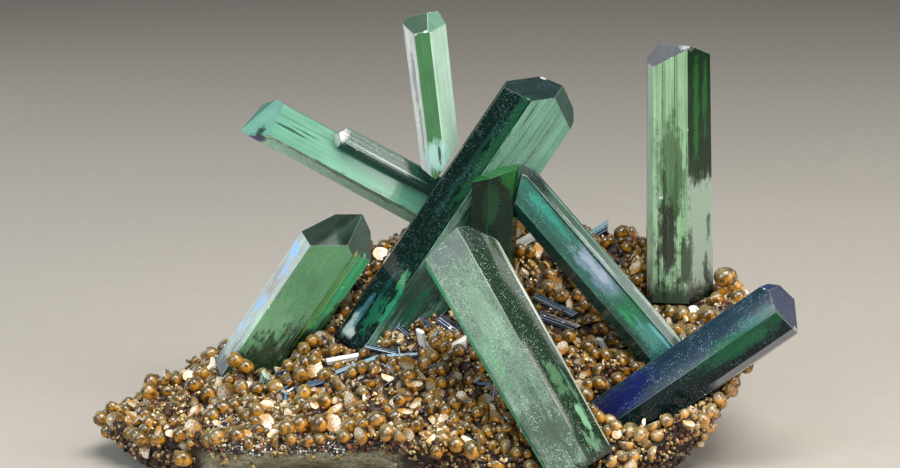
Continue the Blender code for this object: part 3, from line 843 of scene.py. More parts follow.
            lamellae=(Lamella(-13, 1.3, 0.22, -0.14), Lamella(-13, 1.9, 0.18, -0.12), Lamella(-13, -1.2, 0.9, 0.06)),
            chips=7,
        ),
        Crystal(
            node="indigo_crystal",
            slot="indigo_crystal",
            sides={
                -51: Look("1a2d3a", 0.5, 1.1, 0.6),
                9: Look("091c1d", 0.07, 0.6, 0.6),
                # The pale grey of the lower right face is painted light, where no lamp reaches it.
                70: Look("9a9da0", 0.4, 0.1, 0.3),
                129: Look("2c4656", 0.2),
                -171: Look("183a34", 0.15),
                -110: Look("2c4050", 0.3, 0.2),
            },
            tips={-18: Look("0a1630", 0.2, 0.4, 0.9), -90: Look("1c2a52", 0.12, 0.3), 90: Look("2c3752", 0.15)},
            finish=CrystalFinish(
                absorbs="1a78b8",
                density=340.0,
                clarity=0.55,
                zones=(
                    Zone(-3.4, 2.2, 34.5, (2.2, 3.0, 8.0), "0f1654", 1.2, 0.85),
                    Zone(-0.5, 4.6, 10.5, (2.3, 1.8, 9.0), "0a4e32", 0.8, 0.88),
                    Zone(-1.9, 3.7, 7.0, (1.2, 1.6, 4.0), "124e52", 1.2, 0.8),
                    Zone(0.4, 4.5, 9.0, (0.7, 1.5, 5.0), "0f5a38", 1.2, 0.6),
                    Zone(2.6, 4.2, 20.0, (0.9, 1.5, 16.0), "060f10", 0.7, 0.8),
                    Zone(0.0, 2.0, 0.6, (6.0, 6.0, 1.4), "10193c", 0.9, 0.6),
                    # This pale grey band along the lower right face is painted light too.
                    Zone(3.75, 3.9, 10.0, (0.6, 0.9, 9.6), "84878a", 0.12, 0.97, square=True),
                ),
                foot_shade_tint="090c14",
                foot_reach=2.0,
                dust_tint="8fa8bc",
                pit_tint="10202c",
                shine=0.1,
            ),
            chips=7,
        ),
        Crystal(
            node="shoulder_crystal",
            slot="deep_green_crystal",
            sides={
                -41: Look("071a10", 0.10, 0.3, 0.3),
                10: Look("061a0f", 0.08, 0.3, 0.4),
                74: Look("0f2c1c", 0.12),
                139: Look("143020", 0.1),
                -170: Look("12301f", 0.1),
            },
            tips={-90: Look("1c5c26", 0.12, 0.1)},
            finish=CrystalFinish(
                absorbs="18b860",
                density=420.0,
                clarity=0.25,
                zones=(
                    Zone(1.7, 2.3, 1.6, (2.0, 3.0, 3.2), "1a5624", 1.0, 0.75),
                    Zone(-2.0, 2.9, 7.0, (1.4, 2.0, 4.0), "123c24", 0.5, 0.6),
                ),
                foot_shade_tint="050b07",
                foot_reach=4.0,
                dust_tint="5f8a7c",
                shine=0.14,
            ),
            chips=2,
            chip_tint="5f8a6c",
            edge_tint="245a36",
            edge_share=0.3,
        ),
        Crystal(
            node="spire_crystal",
            slot="pale_green_crystal",
            sides={
                # The near-white of the left face is partly frost and partly painted reflection.
                -56: Look("e4e8e6", 0.4, 0.35, 0.6),
                -4: Look("3f7f4d", 0.08, 0.1, 0.5),
                50: Look("b8d9ca", 0.12, 0.1, 0.6),
                124: Look("93ae9f", 0.15),
                176: Look("5a8a64", 0.12),
                -130: Look("9fbcae", 0.15),
            },
            tips={-14: Look("3f564a", 0.12, 0.1), 43: Look("6a9280", 0.12, 0.1), -160: Look("7f9a8d", 0.15)},
            finish=CrystalFinish(
                absorbs="58d890",
                density=130.0,
                clarity=0.5,
                zones=(
                    Zone(-0.3, 3.0, 26.0, (2.7, 3.0, 3.3), "bdeee8", 0.9, 0.92),
                    Zone(0.1, 3.1, 25.6, (0.28, 1.5, 2.2), "0c2228", 1.7, 0.95),
                    Zone(-2.8, 1.7, 12.0, (0.35, 1.0, 6.0), "8c8490", 1.0, 0.6),
                    Zone(-2.5, 2.0, 20.0, (0.3, 1.0, 5.0), "6f7c70", 1.0, 0.6),
                ),
                foot_shade_tint="183a34",
                foot_reach=0.6,
                shine=0.4,
            ),
            chips=6,
            chip_size=0.4,
        ),
        PairedCrystals(
            node="crossed_pair",
            slot="green_crystal",
            sides={
                # The pale lower band is painted light, as only the floor's bounce reaches it; the mint of the main
                # face is partly painted reflection of the lamps above.
                -53: Look("b4e2cc", 0.6, 1.0, 0.35),
                24: Look("74b49b", 0.10, 0.05, 0.35),
                90: Look("8cbfa9", 0.14, 0.05, 0.3),
                127: Look("689c88", 0.15),
                -156: Look("689c88", 0.15),
                -90: Look("b4bacb", 0.2, 0.1),
            },
            tips={23: Look("76b0a2", 0.1, 0.15, 0.2), 87: Look("5a9084", 0.12, 0.1)},
            finish=CrystalFinish(
                absorbs="30c2ab",
                density=210.0,
                clarity=0.52,
                zones=(
                    Zone(-5.3, 0.6, 2.9, (1.8, 1.4, 1.2), "121e28", 0.9, 0.96),
                    Zone(-6.3, -0.6, 2.9, (0.8, 1.2, 1.4), "2a3684", 0.9, 0.9),
                    Zone(-1.42, 1.65, 6.8, (0.24, 1.0, 3.4), "1f4238", 0.4, 0.92),
                    Zone(-0.7, 1.4, 9.4, (0.14, 1.0, 2.6), "356456", 0.4, 0.8),
                    Zone(-6.9, -1.2, 26.0, (0.45, 0.9, 18.0), "f0f0ff", 0.1, 0.95, square=True),
                    Zone(-4.4, 2.2, 22.0, (0.6, 0.9, 15.0), "3f6454", 1.6, 0.75),
                    Zone(1.8, 2.9, 15.0, (2.2, 1.4, 1.3), "e2eaea", 0.9, 0.9),
                    Zone(2.1, 2.9, 25.0, (0.14, 1.0, 9.0), "d0dcda", 0.3, 0.7),
                    Zone(1.2, 3.1, 27.0, (0.10, 1.0, 7.0), "b4c8c4", 0.3, 0.65),
                    Zone(3.2, 2.6, 23.0, (0.12, 1.0, 8.0), "16302c", 0.3, 0.85),
                    Zone(2.6, 2.8, 24.0, (0.10, 1.0, 9.0), "1c3a34", 0.3, 0.85),
                    Zone(0.0, 0.0, 50.0, (7.0, 7.0, 9.0), "0f241f", 0.8, 0.9),
                ),
                foot_shade_tint="0c1814",
                foot_reach=4.0,
                dust_tint="bcd0c8",
                pit_tint="33564a",
            ),
            lamellae=(Lamella(24, -0.4, 0.5, 0.07),),
            rider_sides={
                -43: Look("23443e", 0.15, 0.6, 1.0),
                25: Look("254e45", 0.14, 0.8, 1.3),
                90: Look("7fa29a", 0.2, 0.3, 0.8),
                137: Look("4a7268", 0.2),
            },
            rider_tips={-60: Look("c4d2cf", 0.4, 0.7, 0.3), 120: Look("9aaea8", 0.3, 0.4)},
            chips=11,
        ),
    ]


class BladeKind(Enum):
    """The kinds of small blade, by their slot in the record."""

    BLUE = "blue_blade"
    INDIGO = "indigo_blade"
    WHITE = "white_blade"
    GREEN = "pale_green_crystal"

    @property
    def tints(self) -> tuple[str, str, str]:
        """The tints of the front face and of the slopes to its left and right."""
        return {
            BladeKind.BLUE: ("2a6590", "a3d2e6", "12304a"),
            BladeKind.INDIGO: ("17294b", "48729c", "0b142a"),
            BladeKind.WHITE: ("d3dbd9", "f5f6f2", "9fb0b0"),
            BladeKind.GREEN: ("55866f", "bcdccd", "1f4234"),
        }[self]

    @property
    def finish(self) -> CrystalFinish:
        """The finish of this kind."""
        absorbs, density, clarity = {
            BladeKind.BLUE: ("4f9fd8", 500.0, 0.6),
            BladeKind.INDIGO: ("3358a8", 700.0, 0.6),
            BladeKind.WHITE: ("d5e8e6", 150.0, 0.4),
            BladeKind.GREEN: ("7fc8a0", 300.0, 0.55),
        }[self]
        return CrystalFinish(
            absorbs, density, clarity, foot_shade_tint="1a2226", foot_reach=0.3, cloud=0.35, scale=0.35
        )


@dataclass
class Blades:
    """The small blades lying on the crust, ribbed along their length and glassy."""

    bevel: float = 0.04
    ribs: tuple[Lamella, ...] = (Lamella(0, 0.12, 0.16, 0.10), Lamella(0, -0.2, 0.10, -0.08))

    def build(self, slots: dict[str, str], big: set[str]) -> int:
        """Build every blade.

        Args:
            slots: The record's slot for each node.
            big: The nodes that are not blades.

        Returns:
            How many blades there are.
        """
        names = [name for name in frame["nodes"] if name not in big]
        for name in names:
            kind = BladeKind(slots[name])
            front, left, right = kind.tints
            sides = {}
            for angle, tint in ((0, front), (-50, left), (50, right), (130, left), (-130, right), (180, front)):
                sides[angle] = Look(tint, 0.05, 0.15, 0.7)
            Crystal(
                node=name,
                slot=slots[name],
                sides=sides,
                tips={0: Look(left, 0.2, 0.2, 0.2)},
                finish=kind.finish,
                bevel=self.bevel,
                chips=2,
                chip_size=0.28,
                lamellae=self.ribs,
                chip_tint="e6eeee",
                edge_tint="dce8ea",
                edge_share=0.6,
            ).build()
        return len(names)


@dataclass(frozen=True)
class RockFinish:
    """Dark brown, rusty gossan with painted glints, and a smooth grey-olive band of rock at the lower front."""

    gossan: str = "150e09"
    rust: str = "3c2412"
    black: str = "080706"
    wine: str = "2b1c20"
    olive: str = "68664a"
    grey: str = "a3a08a"

    def make(self) -> bpy.types.Material:
        """Make the material, which reads the rock's band attribute.

        Returns:
            The material.
        """
        graph = Graph("rock_finish")
        own = graph.coordinates()
        band = graph.attribute("band")
        broad = graph.noise(own, 4.0, 4.0)
        fine = graph.noise(own, 0.5, 4.0, 0.7)
        crumbs = graph.cells(own, 0.4)
        crust = graph.mix(graph.spread(broad, 0.42, 0.62), hue(self.gossan), hue(self.rust))
        crust = graph.mix(graph.spread(graph.noise(own, 2.4, 3.0), 0.55, 0.68, 0.0, 0.7), crust, hue(self.wine))
        crust = graph.mix(graph.spread(fine, 0.48, 0.66, 0.0, 0.85), crust, hue(self.black))
        # Painted glints: pale specks on the crumbs stand in for their sparkle.
        painted_glints = graph.math("MULTIPLY", graph.spread(crumbs, 0.24, 0.08), graph.spread(fine, 0.45, 0.3))
        crust = graph.mix(painted_glints, crust, hue("a8895c"))
        bedded = graph.noise(own, (3.2, 3.2, 1.1), 5.0, 0.75)
        smooth = graph.mix(graph.spread(bedded, 0.36, 0.64), hue(self.olive), hue(self.grey))
        smooth = graph.mix(graph.spread(fine, 0.5, 0.66, 0.0, 0.75), smooth, hue("201e16"))
        graph.set("Base Color", graph.mix(band, crust, smooth))
        graph.set("Roughness", graph.spread(fine, 0.3, 0.7, 0.45, 0.8))
        graph.bump(graph.math("ADD", fine, crumbs), 0.2, 0.7)
        return graph.material


@dataclass
class MatrixRock:
    """The rock that carries the crystals, as a fine mesh with a lumpy crust and a smooth band at its front."""

    voxel: float = 0.5
    lumps: float = 1.1
    crumbs: float = 0.6
    band_from: float = -43.0
    band_to: float = -7.0
    band_top: float = 7.4
    clearance: float = 0.12

    def build(self, crystal_tree: BVHTree) -> bpy.types.Object:
        """Build and dress the rock.

        Args:
            crystal_tree: The crystals' surfaces, which the rock stays clear of.

        Returns:
            The finished piece.
        """
        piece = copy_of(frame["nodes"]["matrix"], "matrix_rock")
        remesh = piece.modifiers.new("remesh", "REMESH")
        remesh.mode = "VOXEL"
        remesh.voxel_size = self.voxel * MM
        apply_modifiers(piece)
        bands = [self._band(v.co / MM, v.normal) for v in piece.data.vertices]
        crusty = piece.vertex_groups.new(name="crusty")
        for index, value in enumerate(bands):
            crusty.add([index], 1.0 - 0.75 * value, "REPLACE")
        self._displace(piece, "lumps", "CLOUDS", 2.6, self.lumps)
        self._displace(piece, "crumbs", "VORONOI", 0.9, self.crumbs)
        apply_modifiers(piece)
        self._keep_clear(piece, crystal_tree)
        set_attribute(piece.data, "band", "FLOAT", "POINT", bands)
        piece.vertex_groups.clear()
        pick_only(piece)
        bpy.ops.object.shade_smooth()
        piece.data.materials.append(RockFinish().make())
        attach(piece, BODY)
        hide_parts("matrix")
        log.info("%s: %d faces", piece.name, len(piece.data.polygons))
        return piece

    def _band(self, place: Vector, normal: Vector) -> float:
        """How much a place belongs to the smooth lower band, from 0 to 1.

        Args:
            place: The place, in millimetres.
            normal: The surface's direction there.
        """
        top = self.band_top + 1.8 * noise.noise(place * 0.2)
        inside = min(place.x - self.band_from, self.band_to - place.x) / 2.0
        share = (top - place.z) / 0.8 - 1.2 * max(0.0, normal.z)
        return min(1.0, max(0.0, share)) * min(1.0, max(0.0, inside)) * (place.y < 0.0)

    @staticmethod
    def _displace(piece: bpy.types.Object, name: str, kind: str, size: float, strength: float) -> None:
        """Swell the crusty part of the rock by a texture."""
        texture = bpy.data.textures.new(name, kind)
        texture.noise_scale = size * MM
        modifier = piece.modifiers.new(name, "DISPLACE")
        modifier.texture = texture
        modifier.texture_coords = "LOCAL"
        modifier.vertex_group = "crusty"
        modifier.mid_level = 0.5
        modifier.strength = strength * MM

    def _keep_clear(self, piece: bpy.types.Object, tree: BVHTree) -> None:
        """Move the rock's points out of the crystals and up to the table."""
        for vertex in piece.data.vertices:
            hit, normal, _, _ = tree.find_nearest(vertex.co, 3 * MM)
            if hit is not None and (vertex.co - hit).dot(normal) < self.clearance * MM:
                vertex.co = hit + normal * self.clearance * MM
            vertex.co.z = max(vertex.co.z, 0.0)


@dataclass(frozen=True)
class Seat:
    """Where one grain sits: its middle and the rock's direction there, in metres, and its radius."""

    place: Vector
    normal: Vector
    radius: float


class Region(Enum):
    """The parts of the rock that different grains grow on."""

    CRUST = "crust"
    SAND = "sand"
    EDGE = "edge"
    SUGAR = "sugar"
    MIDDLE = "middle"
    FEET = "feet"
    ANYWHERE = "anywhere"

    def takes(self, place: Vector, normal: Vector) -> bool:
        """Whether this region covers a place of the rock.

        Args:
            place: The place, in millimetres.
            normal: The rock's direction there.
        """
        patch = noise.noise(place * 0.17 + Vector((3.0, 9.0, 1.0)))
        front = -44.0 < place.x < -5.0 and place.y < 0.0
        edge = (9.4 if front else 4.4) + 2.0 * noise.noise(place * 0.16)
        low = place.z < edge and normal.z < 0.6
        if self is Region.CRUST:
            gaps = -0.02 if place.y > 19.0 or normal.z < 0.1 else -0.3
            return normal.z > -0.3 and not low and patch > gaps
        if self is Region.SAND:
            heap = noise.noise(place * 0.4 + Vector((7.0, 2.0, 5.0)))
            return normal.z > -0.4 and place.z > 3.0 and heap > 0.08
        if self is Region.EDGE:
            return low and place.z > 0.5 and not (front and place.z < 6.8)
        if self is Region.SUGAR:
            strip = -42.0 < place.x < -17.0 and place.y < 0.0 and 5.8 < place.z < 10.0
            return strip or (place - Vector((47.0, 0.0, 22.0))).length < 5.0
        if self is Region.MIDDLE:
            return -34.0 < place.x < 18.0 and -16.0 < place.y < 4.0 and normal.z > 0.2
        return place.z > 1.0 and not (front and place.z < 6.6)


class Seats:
    """Places for grains on the rock, clear of the crystals and of one another."""

    def __init__(self, rock: bpy.types.Object, crystal_tree: BVHTree, seed: int, room: int = 20000) -> None:
        """Read the rock's surface as candidate places."""
        self.draw = random.Random(seed)
        self.tree = crystal_tree
        self.spots = [(p.center.copy(), p.normal.copy()) for p in rock.data.polygons]
        self.regions: dict[Region, list] = {}
        self.taken = np.zeros((room, 3))
        self.radii = np.zeros(room)
        self.count = 0

    def clear_of_crystals(self, place: Vector, radius: float) -> bool:
        """Whether a ball touches no crystal."""
        hit, normal, _, distance = self.tree.find_nearest(place, 8 * MM)
        if hit is None:
            return True
        return distance > radius and (place - hit).dot(normal) > 0

    def free(self, place: Vector, radius: float, touch: float) -> bool:
        """Whether a ball keeps its share of the room from those already there."""
        if not self.count:
            return True
        gaps = np.linalg.norm(self.taken[:self.count] - np.array(place), axis=1)
        return bool((gaps > touch * (self.radii[:self.count] + radius)).all())

    def keep(self, seat: Seat) -> None:
        """Hold a seat's room against later grains."""
        self.taken[self.count] = seat.place
        self.radii[self.count] = seat.radius
        self.count += 1

    def within(self, region: Region) -> list:
        """The rock's places that a region covers."""
        if region not in self.regions:
            if region is Region.FEET:
                near = [s for s in self.spots if self.tree.find_nearest(s[0], 3.2 * MM)[0] is not None]
                self.regions[region] = [s for s in near if s[1].z > 0.2]
            else:
                self.regions[region] = [s for s in self.spots if region.takes(s[0] / MM, s[1])]
        return self.regions[region]

    def settle(self, kind: "GrainKind") -> list[Seat]:
        """Seat as many grains of a kind as fit.

        Args:
            kind: The kind of grain.

        Returns:
            The seats.
        """
        found = []
        spots = self.within(kind.region)
        for _ in range(kind.tries):
            spot, normal = self.draw.choice(spots)
            radius = self.draw.uniform(*kind.sizes) * MM
            place = spot + normal * radius * self.draw.uniform(*kind.lift)
            if place.z < radius * 1.05:
                continue
            if not self.free(place, radius, kind.touch) or not self.clear_of_crystals(place, radius * 1.04):
                continue
            found.append(Seat(place, normal, radius))
            if kind.holds:
                self.keep(found[-1])
        return found


def lay_copies(name: str, template: bpy.types.Object, seats: list[Seat], tones: list, turns: list) -> bpy.types.Object:
    """Join a copy of a template at every seat into one piece, by Geometry Nodes.

    Args:
        name: The piece's name.
        template: One grain of unit radius, which is removed afterwards.
        seats: The places and radii.
        tones: A colour for each copy.
        turns: A turn about each axis for each copy.

    Returns:
        The joined piece, with a tone attribute.
    """
    mesh = bpy.data.meshes.new(name)
    mesh.from_pydata([tuple(s.place) for s in seats], [], [])
    set_attribute(mesh, "size", "FLOAT", "POINT", [s.radius for s in seats])
    set_attribute(mesh, "turn", "FLOAT_VECTOR", "POINT", turns)
    set_attribute(mesh, "tone", "FLOAT_COLOR", "POINT", tones)
    piece = bpy.data.objects.new(name, mesh)
    bpy.context.scene.collection.objects.link(piece)
    tree = bpy.data.node_groups.new(f"lay_{name}", "GeometryNodeTree")
    tree.interface.new_socket("Geometry", in_out="INPUT", socket_type="NodeSocketGeometry")
    tree.interface.new_socket("Geometry", in_out="OUTPUT", socket_type="NodeSocketGeometry")
    start = tree.nodes.new("NodeGroupInput")
    end = tree.nodes.new("NodeGroupOutput")
    grain = tree.nodes.new("GeometryNodeObjectInfo")
    grain.inputs["Object"].default_value = template
    size = tree.nodes.new("GeometryNodeInputNamedAttribute")
    size.inputs["Name"].default_value = "size"
    turn = tree.nodes.new("GeometryNodeInputNamedAttribute")
    turn.data_type = "FLOAT_VECTOR"
    turn.inputs["Name"].default_value = "turn"
    copies = tree.nodes.new("GeometryNodeInstanceOnPoints")
    real = tree.nodes.new("GeometryNodeRealizeInstances")
    tree.links.new(start.outputs[0], copies.inputs["Points"])
    tree.links.new(grain.outputs["Geometry"], copies.inputs["Instance"])
    tree.links.new(turn.outputs["Attribute"], copies.inputs["Rotation"])
    tree.links.new(size.outputs["Attribute"], copies.inputs["Scale"])
    tree.links.new(copies.outputs["Instances"], real.inputs["Geometry"])
    tree.links.new(real.outputs["Geometry"], end.inputs[0])
    piece.modifiers.new("copies", "NODES").node_group = tree
    apply_modifiers(piece)
    bpy.data.objects.remove(template)
    return piece


@dataclass(frozen=True)
class SpheruleFinish:
    """Half clear, honey-coloured balls: olive skins, an orange glow painted on the side turned from the light, a
    pearly highlight painted on the side turned to it, and silky split faces.
    """

    # The amber of the painted glow, on the side of each ball turned away from the light.
    painted_glow_amber: str = "c4841c"
    shade: str = "3a2c0e"
    # The tint of the painted pearly highlight, on the side of each ball turned towards the light.
    painted_highlight_tint: str = "baa878"
    silk: str = "ece5d2"
    fibre: str = "7c6844"

    def make(self) -> bpy.types.Material:
        """Make the material, which reads the tone, split and local attributes, and how far each point is turned away
        from the light.

        Returns:
            The material.
        """
        graph = Graph("spherule_finish")
        own = graph.coordinates()
        tone = graph.attribute("tone", "Color")
        glow = graph.attribute("glow")
        split = graph.attribute("split")
        local = graph.attribute("local", "Vector")
        ray = graph.node("ShaderNodeVectorMath", operation="NORMALIZE")
        graph.feed(ray.inputs[0], graph.stretched(local, (1.0, 1.0, 1.0), (-0.95, 0.1, -0.2)))
        cloud = graph.noise(own, 1.1, 3.0)
        fine = graph.noise(own, 0.22, 3.0, 0.65)
        fan = graph.noise(ray.outputs["Vector"], 0.1, 3.0, 0.6)
        skin = graph.mix(graph.spread(cloud, 0.36, 0.64, 0.1, 0.8), tone, hue(self.shade))
        # Painted glow: amber on the side of each ball turned away from the light.
        painted_glow_share = graph.math("MULTIPLY", graph.spread(glow, -0.5, 0.75), graph.spread(cloud, 0.62, 0.42, 0.15, 0.95))
        skin = graph.mix(painted_glow_share, skin, hue(self.painted_glow_amber))
        # Painted highlight: a pearly tint on the side of each ball turned towards the light.
        top = graph.math("MULTIPLY", graph.spread(glow, -0.2, -0.9), graph.spread(fine, 0.38, 0.6, 0.05, 0.85))
        skin = graph.mix(top, skin, hue(self.painted_highlight_tint))
        silk = graph.mix(graph.spread(fan, 0.41, 0.57), hue(self.fibre), hue(self.silk))
        side = graph.math("ADD", graph.parts(local)[0], graph.math("MULTIPLY", fan, 0.9))
        # The fibres' origin takes half the tone and half the painted glow's amber.
        silk = graph.mix(graph.spread(side, 0.2, 0.9, 0.0, 0.9), silk, graph.mix(0.5, tone, hue(self.painted_glow_amber)))
        graph.set("Base Color", graph.mix(split, skin, silk))
        graph.set("Roughness", graph.spread(fine, 0.3, 0.7, 0.14, 0.36))
        graph.set("Transmission Weight", graph.spread(graph.math("ADD", split, painted_glow_share), 0.0, 1.0, 0.5, 0.12))
        graph.set("IOR", 1.55)
        graph.set("Coat Weight", 0.35)
        graph.shader.inputs["Coat Roughness"].default_value = 0.14
        graph.bump(graph.math("ADD", fine, graph.math("MULTIPLY", fan, split)), 0.08, 0.5)
        return graph.material


@dataclass(frozen=True)
class GrainFinish:
    """Small grains, each with its own tone."""

    metal: float = 0.0
    rough: float = 0.4
    clarity: float = 0.0
    dirt: str = "1a130b"

    def make(self, name: str) -> bpy.types.Material:
        """Make the material, which reads the tone attribute.

        Args:
            name: The material's name.

        Returns:
            The material.
        """
        graph = Graph(name)
        own = graph.coordinates()
        fine = graph.noise(own, 0.2, 2.0)
        tone = graph.attribute("tone", "Color")
        graph.set("Base Color", graph.mix(graph.spread(fine, 0.35, 0.7, 0.0, 0.5), tone, hue(self.dirt)))
        graph.set("Roughness", graph.spread(fine, 0.3, 0.7, self.rough - 0.15, self.rough + 0.15))
        graph.set("Metallic", self.metal)
        graph.set("Transmission Weight", self.clarity)
        graph.bump(fine, 0.04, 0.4)
        return graph.material


class GrainShape(Enum):
    """The shapes in the crust."""

    BALL = "ball"
    HALF = "half"
    WEDGE = "wedge"
    CRUMB = "crumb"
    SLIVER = "sliver"

    def template(self) -> bpy.types.Object:
        """Model one grain of unit radius, with split and local attributes.

        Returns:
            The grain.
        """
        bpy.ops.object.select_all(action="DESELECT")
        if self is GrainShape.SLIVER:
            bpy.ops.mesh.primitive_cylinder_add(vertices=6, radius=0.2, depth=2.0)
        else:
            fine = 1 if self is GrainShape.CRUMB else 2
            bpy.ops.mesh.primitive_ico_sphere_add(subdivisions=fine, radius=1.0)
        grain = bpy.context.active_object
        splits = {
            GrainShape.HALF: [((0, 0, 0.12), (0.0, 0.0, 1.0))],
            GrainShape.WEDGE: [((0, 0, 0.1), (0.0, 0.25, 0.97)), ((0, -0.1, 0), (0.1, -0.93, 0.3))],
            GrainShape.SLIVER: [((0, 0, 0.85), (0.75, 0.0, 0.66)), ((0, 0, -0.9), (0.5, 0.3, -0.8))],
        }.get(self, [])
        with editing(grain):
            bpy.ops.mesh.select_all(action="SELECT")
            if self is GrainShape.SLIVER:
                bpy.ops.transform.resize(value=(1.0, 0.45, 1.0))
            elif self is GrainShape.CRUMB:
                bpy.ops.transform.vertex_random(offset=0.35, seed=4)
                bpy.ops.transform.resize(value=(1.25, 0.9, 0.8))
            else:
                bpy.ops.transform.vertex_random(offset=0.09, seed=3)
                bpy.ops.transform.resize(value=(1.04, 0.94, 0.86))
            for place, direction in splits:
                bpy.ops.mesh.select_all(action="SELECT")
                bpy.ops.mesh.bisect(plane_co=place, plane_no=direction, use_fill=True, clear_outer=True)
        flats = [Vector(direction).normalized() for _, direction in splits]
        ends = [any(p.normal.dot(flat) > 0.995 for flat in flats) for p in grain.data.polygons]
        set_attribute(grain.data, "split", "FLOAT", "FACE", [float(end) for end in ends])
        set_attribute(grain.data, "local", "FLOAT_VECTOR", "POINT", [tuple(v.co) for v in grain.data.vertices])
        if self in (GrainShape.BALL, GrainShape.HALF, GrainShape.WEDGE):
            pick_only(grain)
            bpy.ops.object.shade_smooth_by_angle(angle=math.radians(40))
        return grain


@dataclass(frozen=True)
class GrainKind:
    """One kind of grain in the crust: its shape, sizes and seat, where it grows, its tones and its finish.

    Sizes are radii in millimetres. The lift is how far a middle is above the rock, in radii. The touch is how
    close two grains may come, as a share of their radii. The lean is from the rock's direction, in degrees.
    """

    name: str
    shape: GrainShape
    region: Region
    tries: int
    sizes: tuple[float, float]
    tones: dict[str, float]
    lift: tuple[float, float] = (0.0, 0.4)
    touch: float = 0.8
    lean: tuple[float, float] = (0.0, 180.0)
    holds: bool = False
    slot: str = "rusty_rock"

    def tone(self, draw: random.Random, place: Vector) -> Colour:
        """A grain's tone, drawn from the shares of each; paler where the crust is creamy.

        Args:
            draw: The source of chance.
            place: The grain's place, in metres.
        """
        base = Vector(hue(draw.choices(list(self.tones), list(self.tones.values()))[0])) * draw.uniform(0.7, 1.2)
        if self.slot == "amber_spherules" and place.x > 28 * MM and place.z < 14 * MM and place.y < 0:
            base = base.lerp(Vector(hue("e0cc9a")), draw.uniform(0.4, 0.95))
        return tuple(base)

    def turn(self, draw: random.Random, normal: Vector) -> tuple[float, float, float]:
        """A grain's turn: leaning from the rock's direction, and spun by chance."""
        upright = normal.to_track_quat("Z", "Y")
        spin = Quaternion((0, 0, 1), draw.uniform(0, math.tau))
        lean = Quaternion((1, 0, 0), math.radians(draw.uniform(*self.lean)))
        roll = Quaternion((0, 0, 1), draw.uniform(0, math.tau))
        return tuple((upright @ spin @ lean @ roll).to_euler())


HONEY = {"866a1c": 0.22, "5c4812": 0.2, "5e5a2e": 0.2, "a4842c": 0.12, "3c2e0e": 0.16, "8a845c": 0.10}
PALE = {"c4b083": 0.4, "a3884e": 0.3, "857646": 0.3}
GOLD = {"b59c68": 0.35, "8a7040": 0.3, "dccb9c": 0.15, "5a452c": 0.2}
RUSTY = {"54331d": 0.3, "281c15": 0.34, "7f4a3a": 0.12, "8c6a3e": 0.14, "120f0d": 0.1}
SUGAR = {"d8d6cc": 0.35, "8a8880": 0.25, "2c2a28": 0.4}
ICE = {"c9dde4": 0.3, "5f95bd": 0.25, "1d3a66": 0.25, "eef0ea": 0.2}


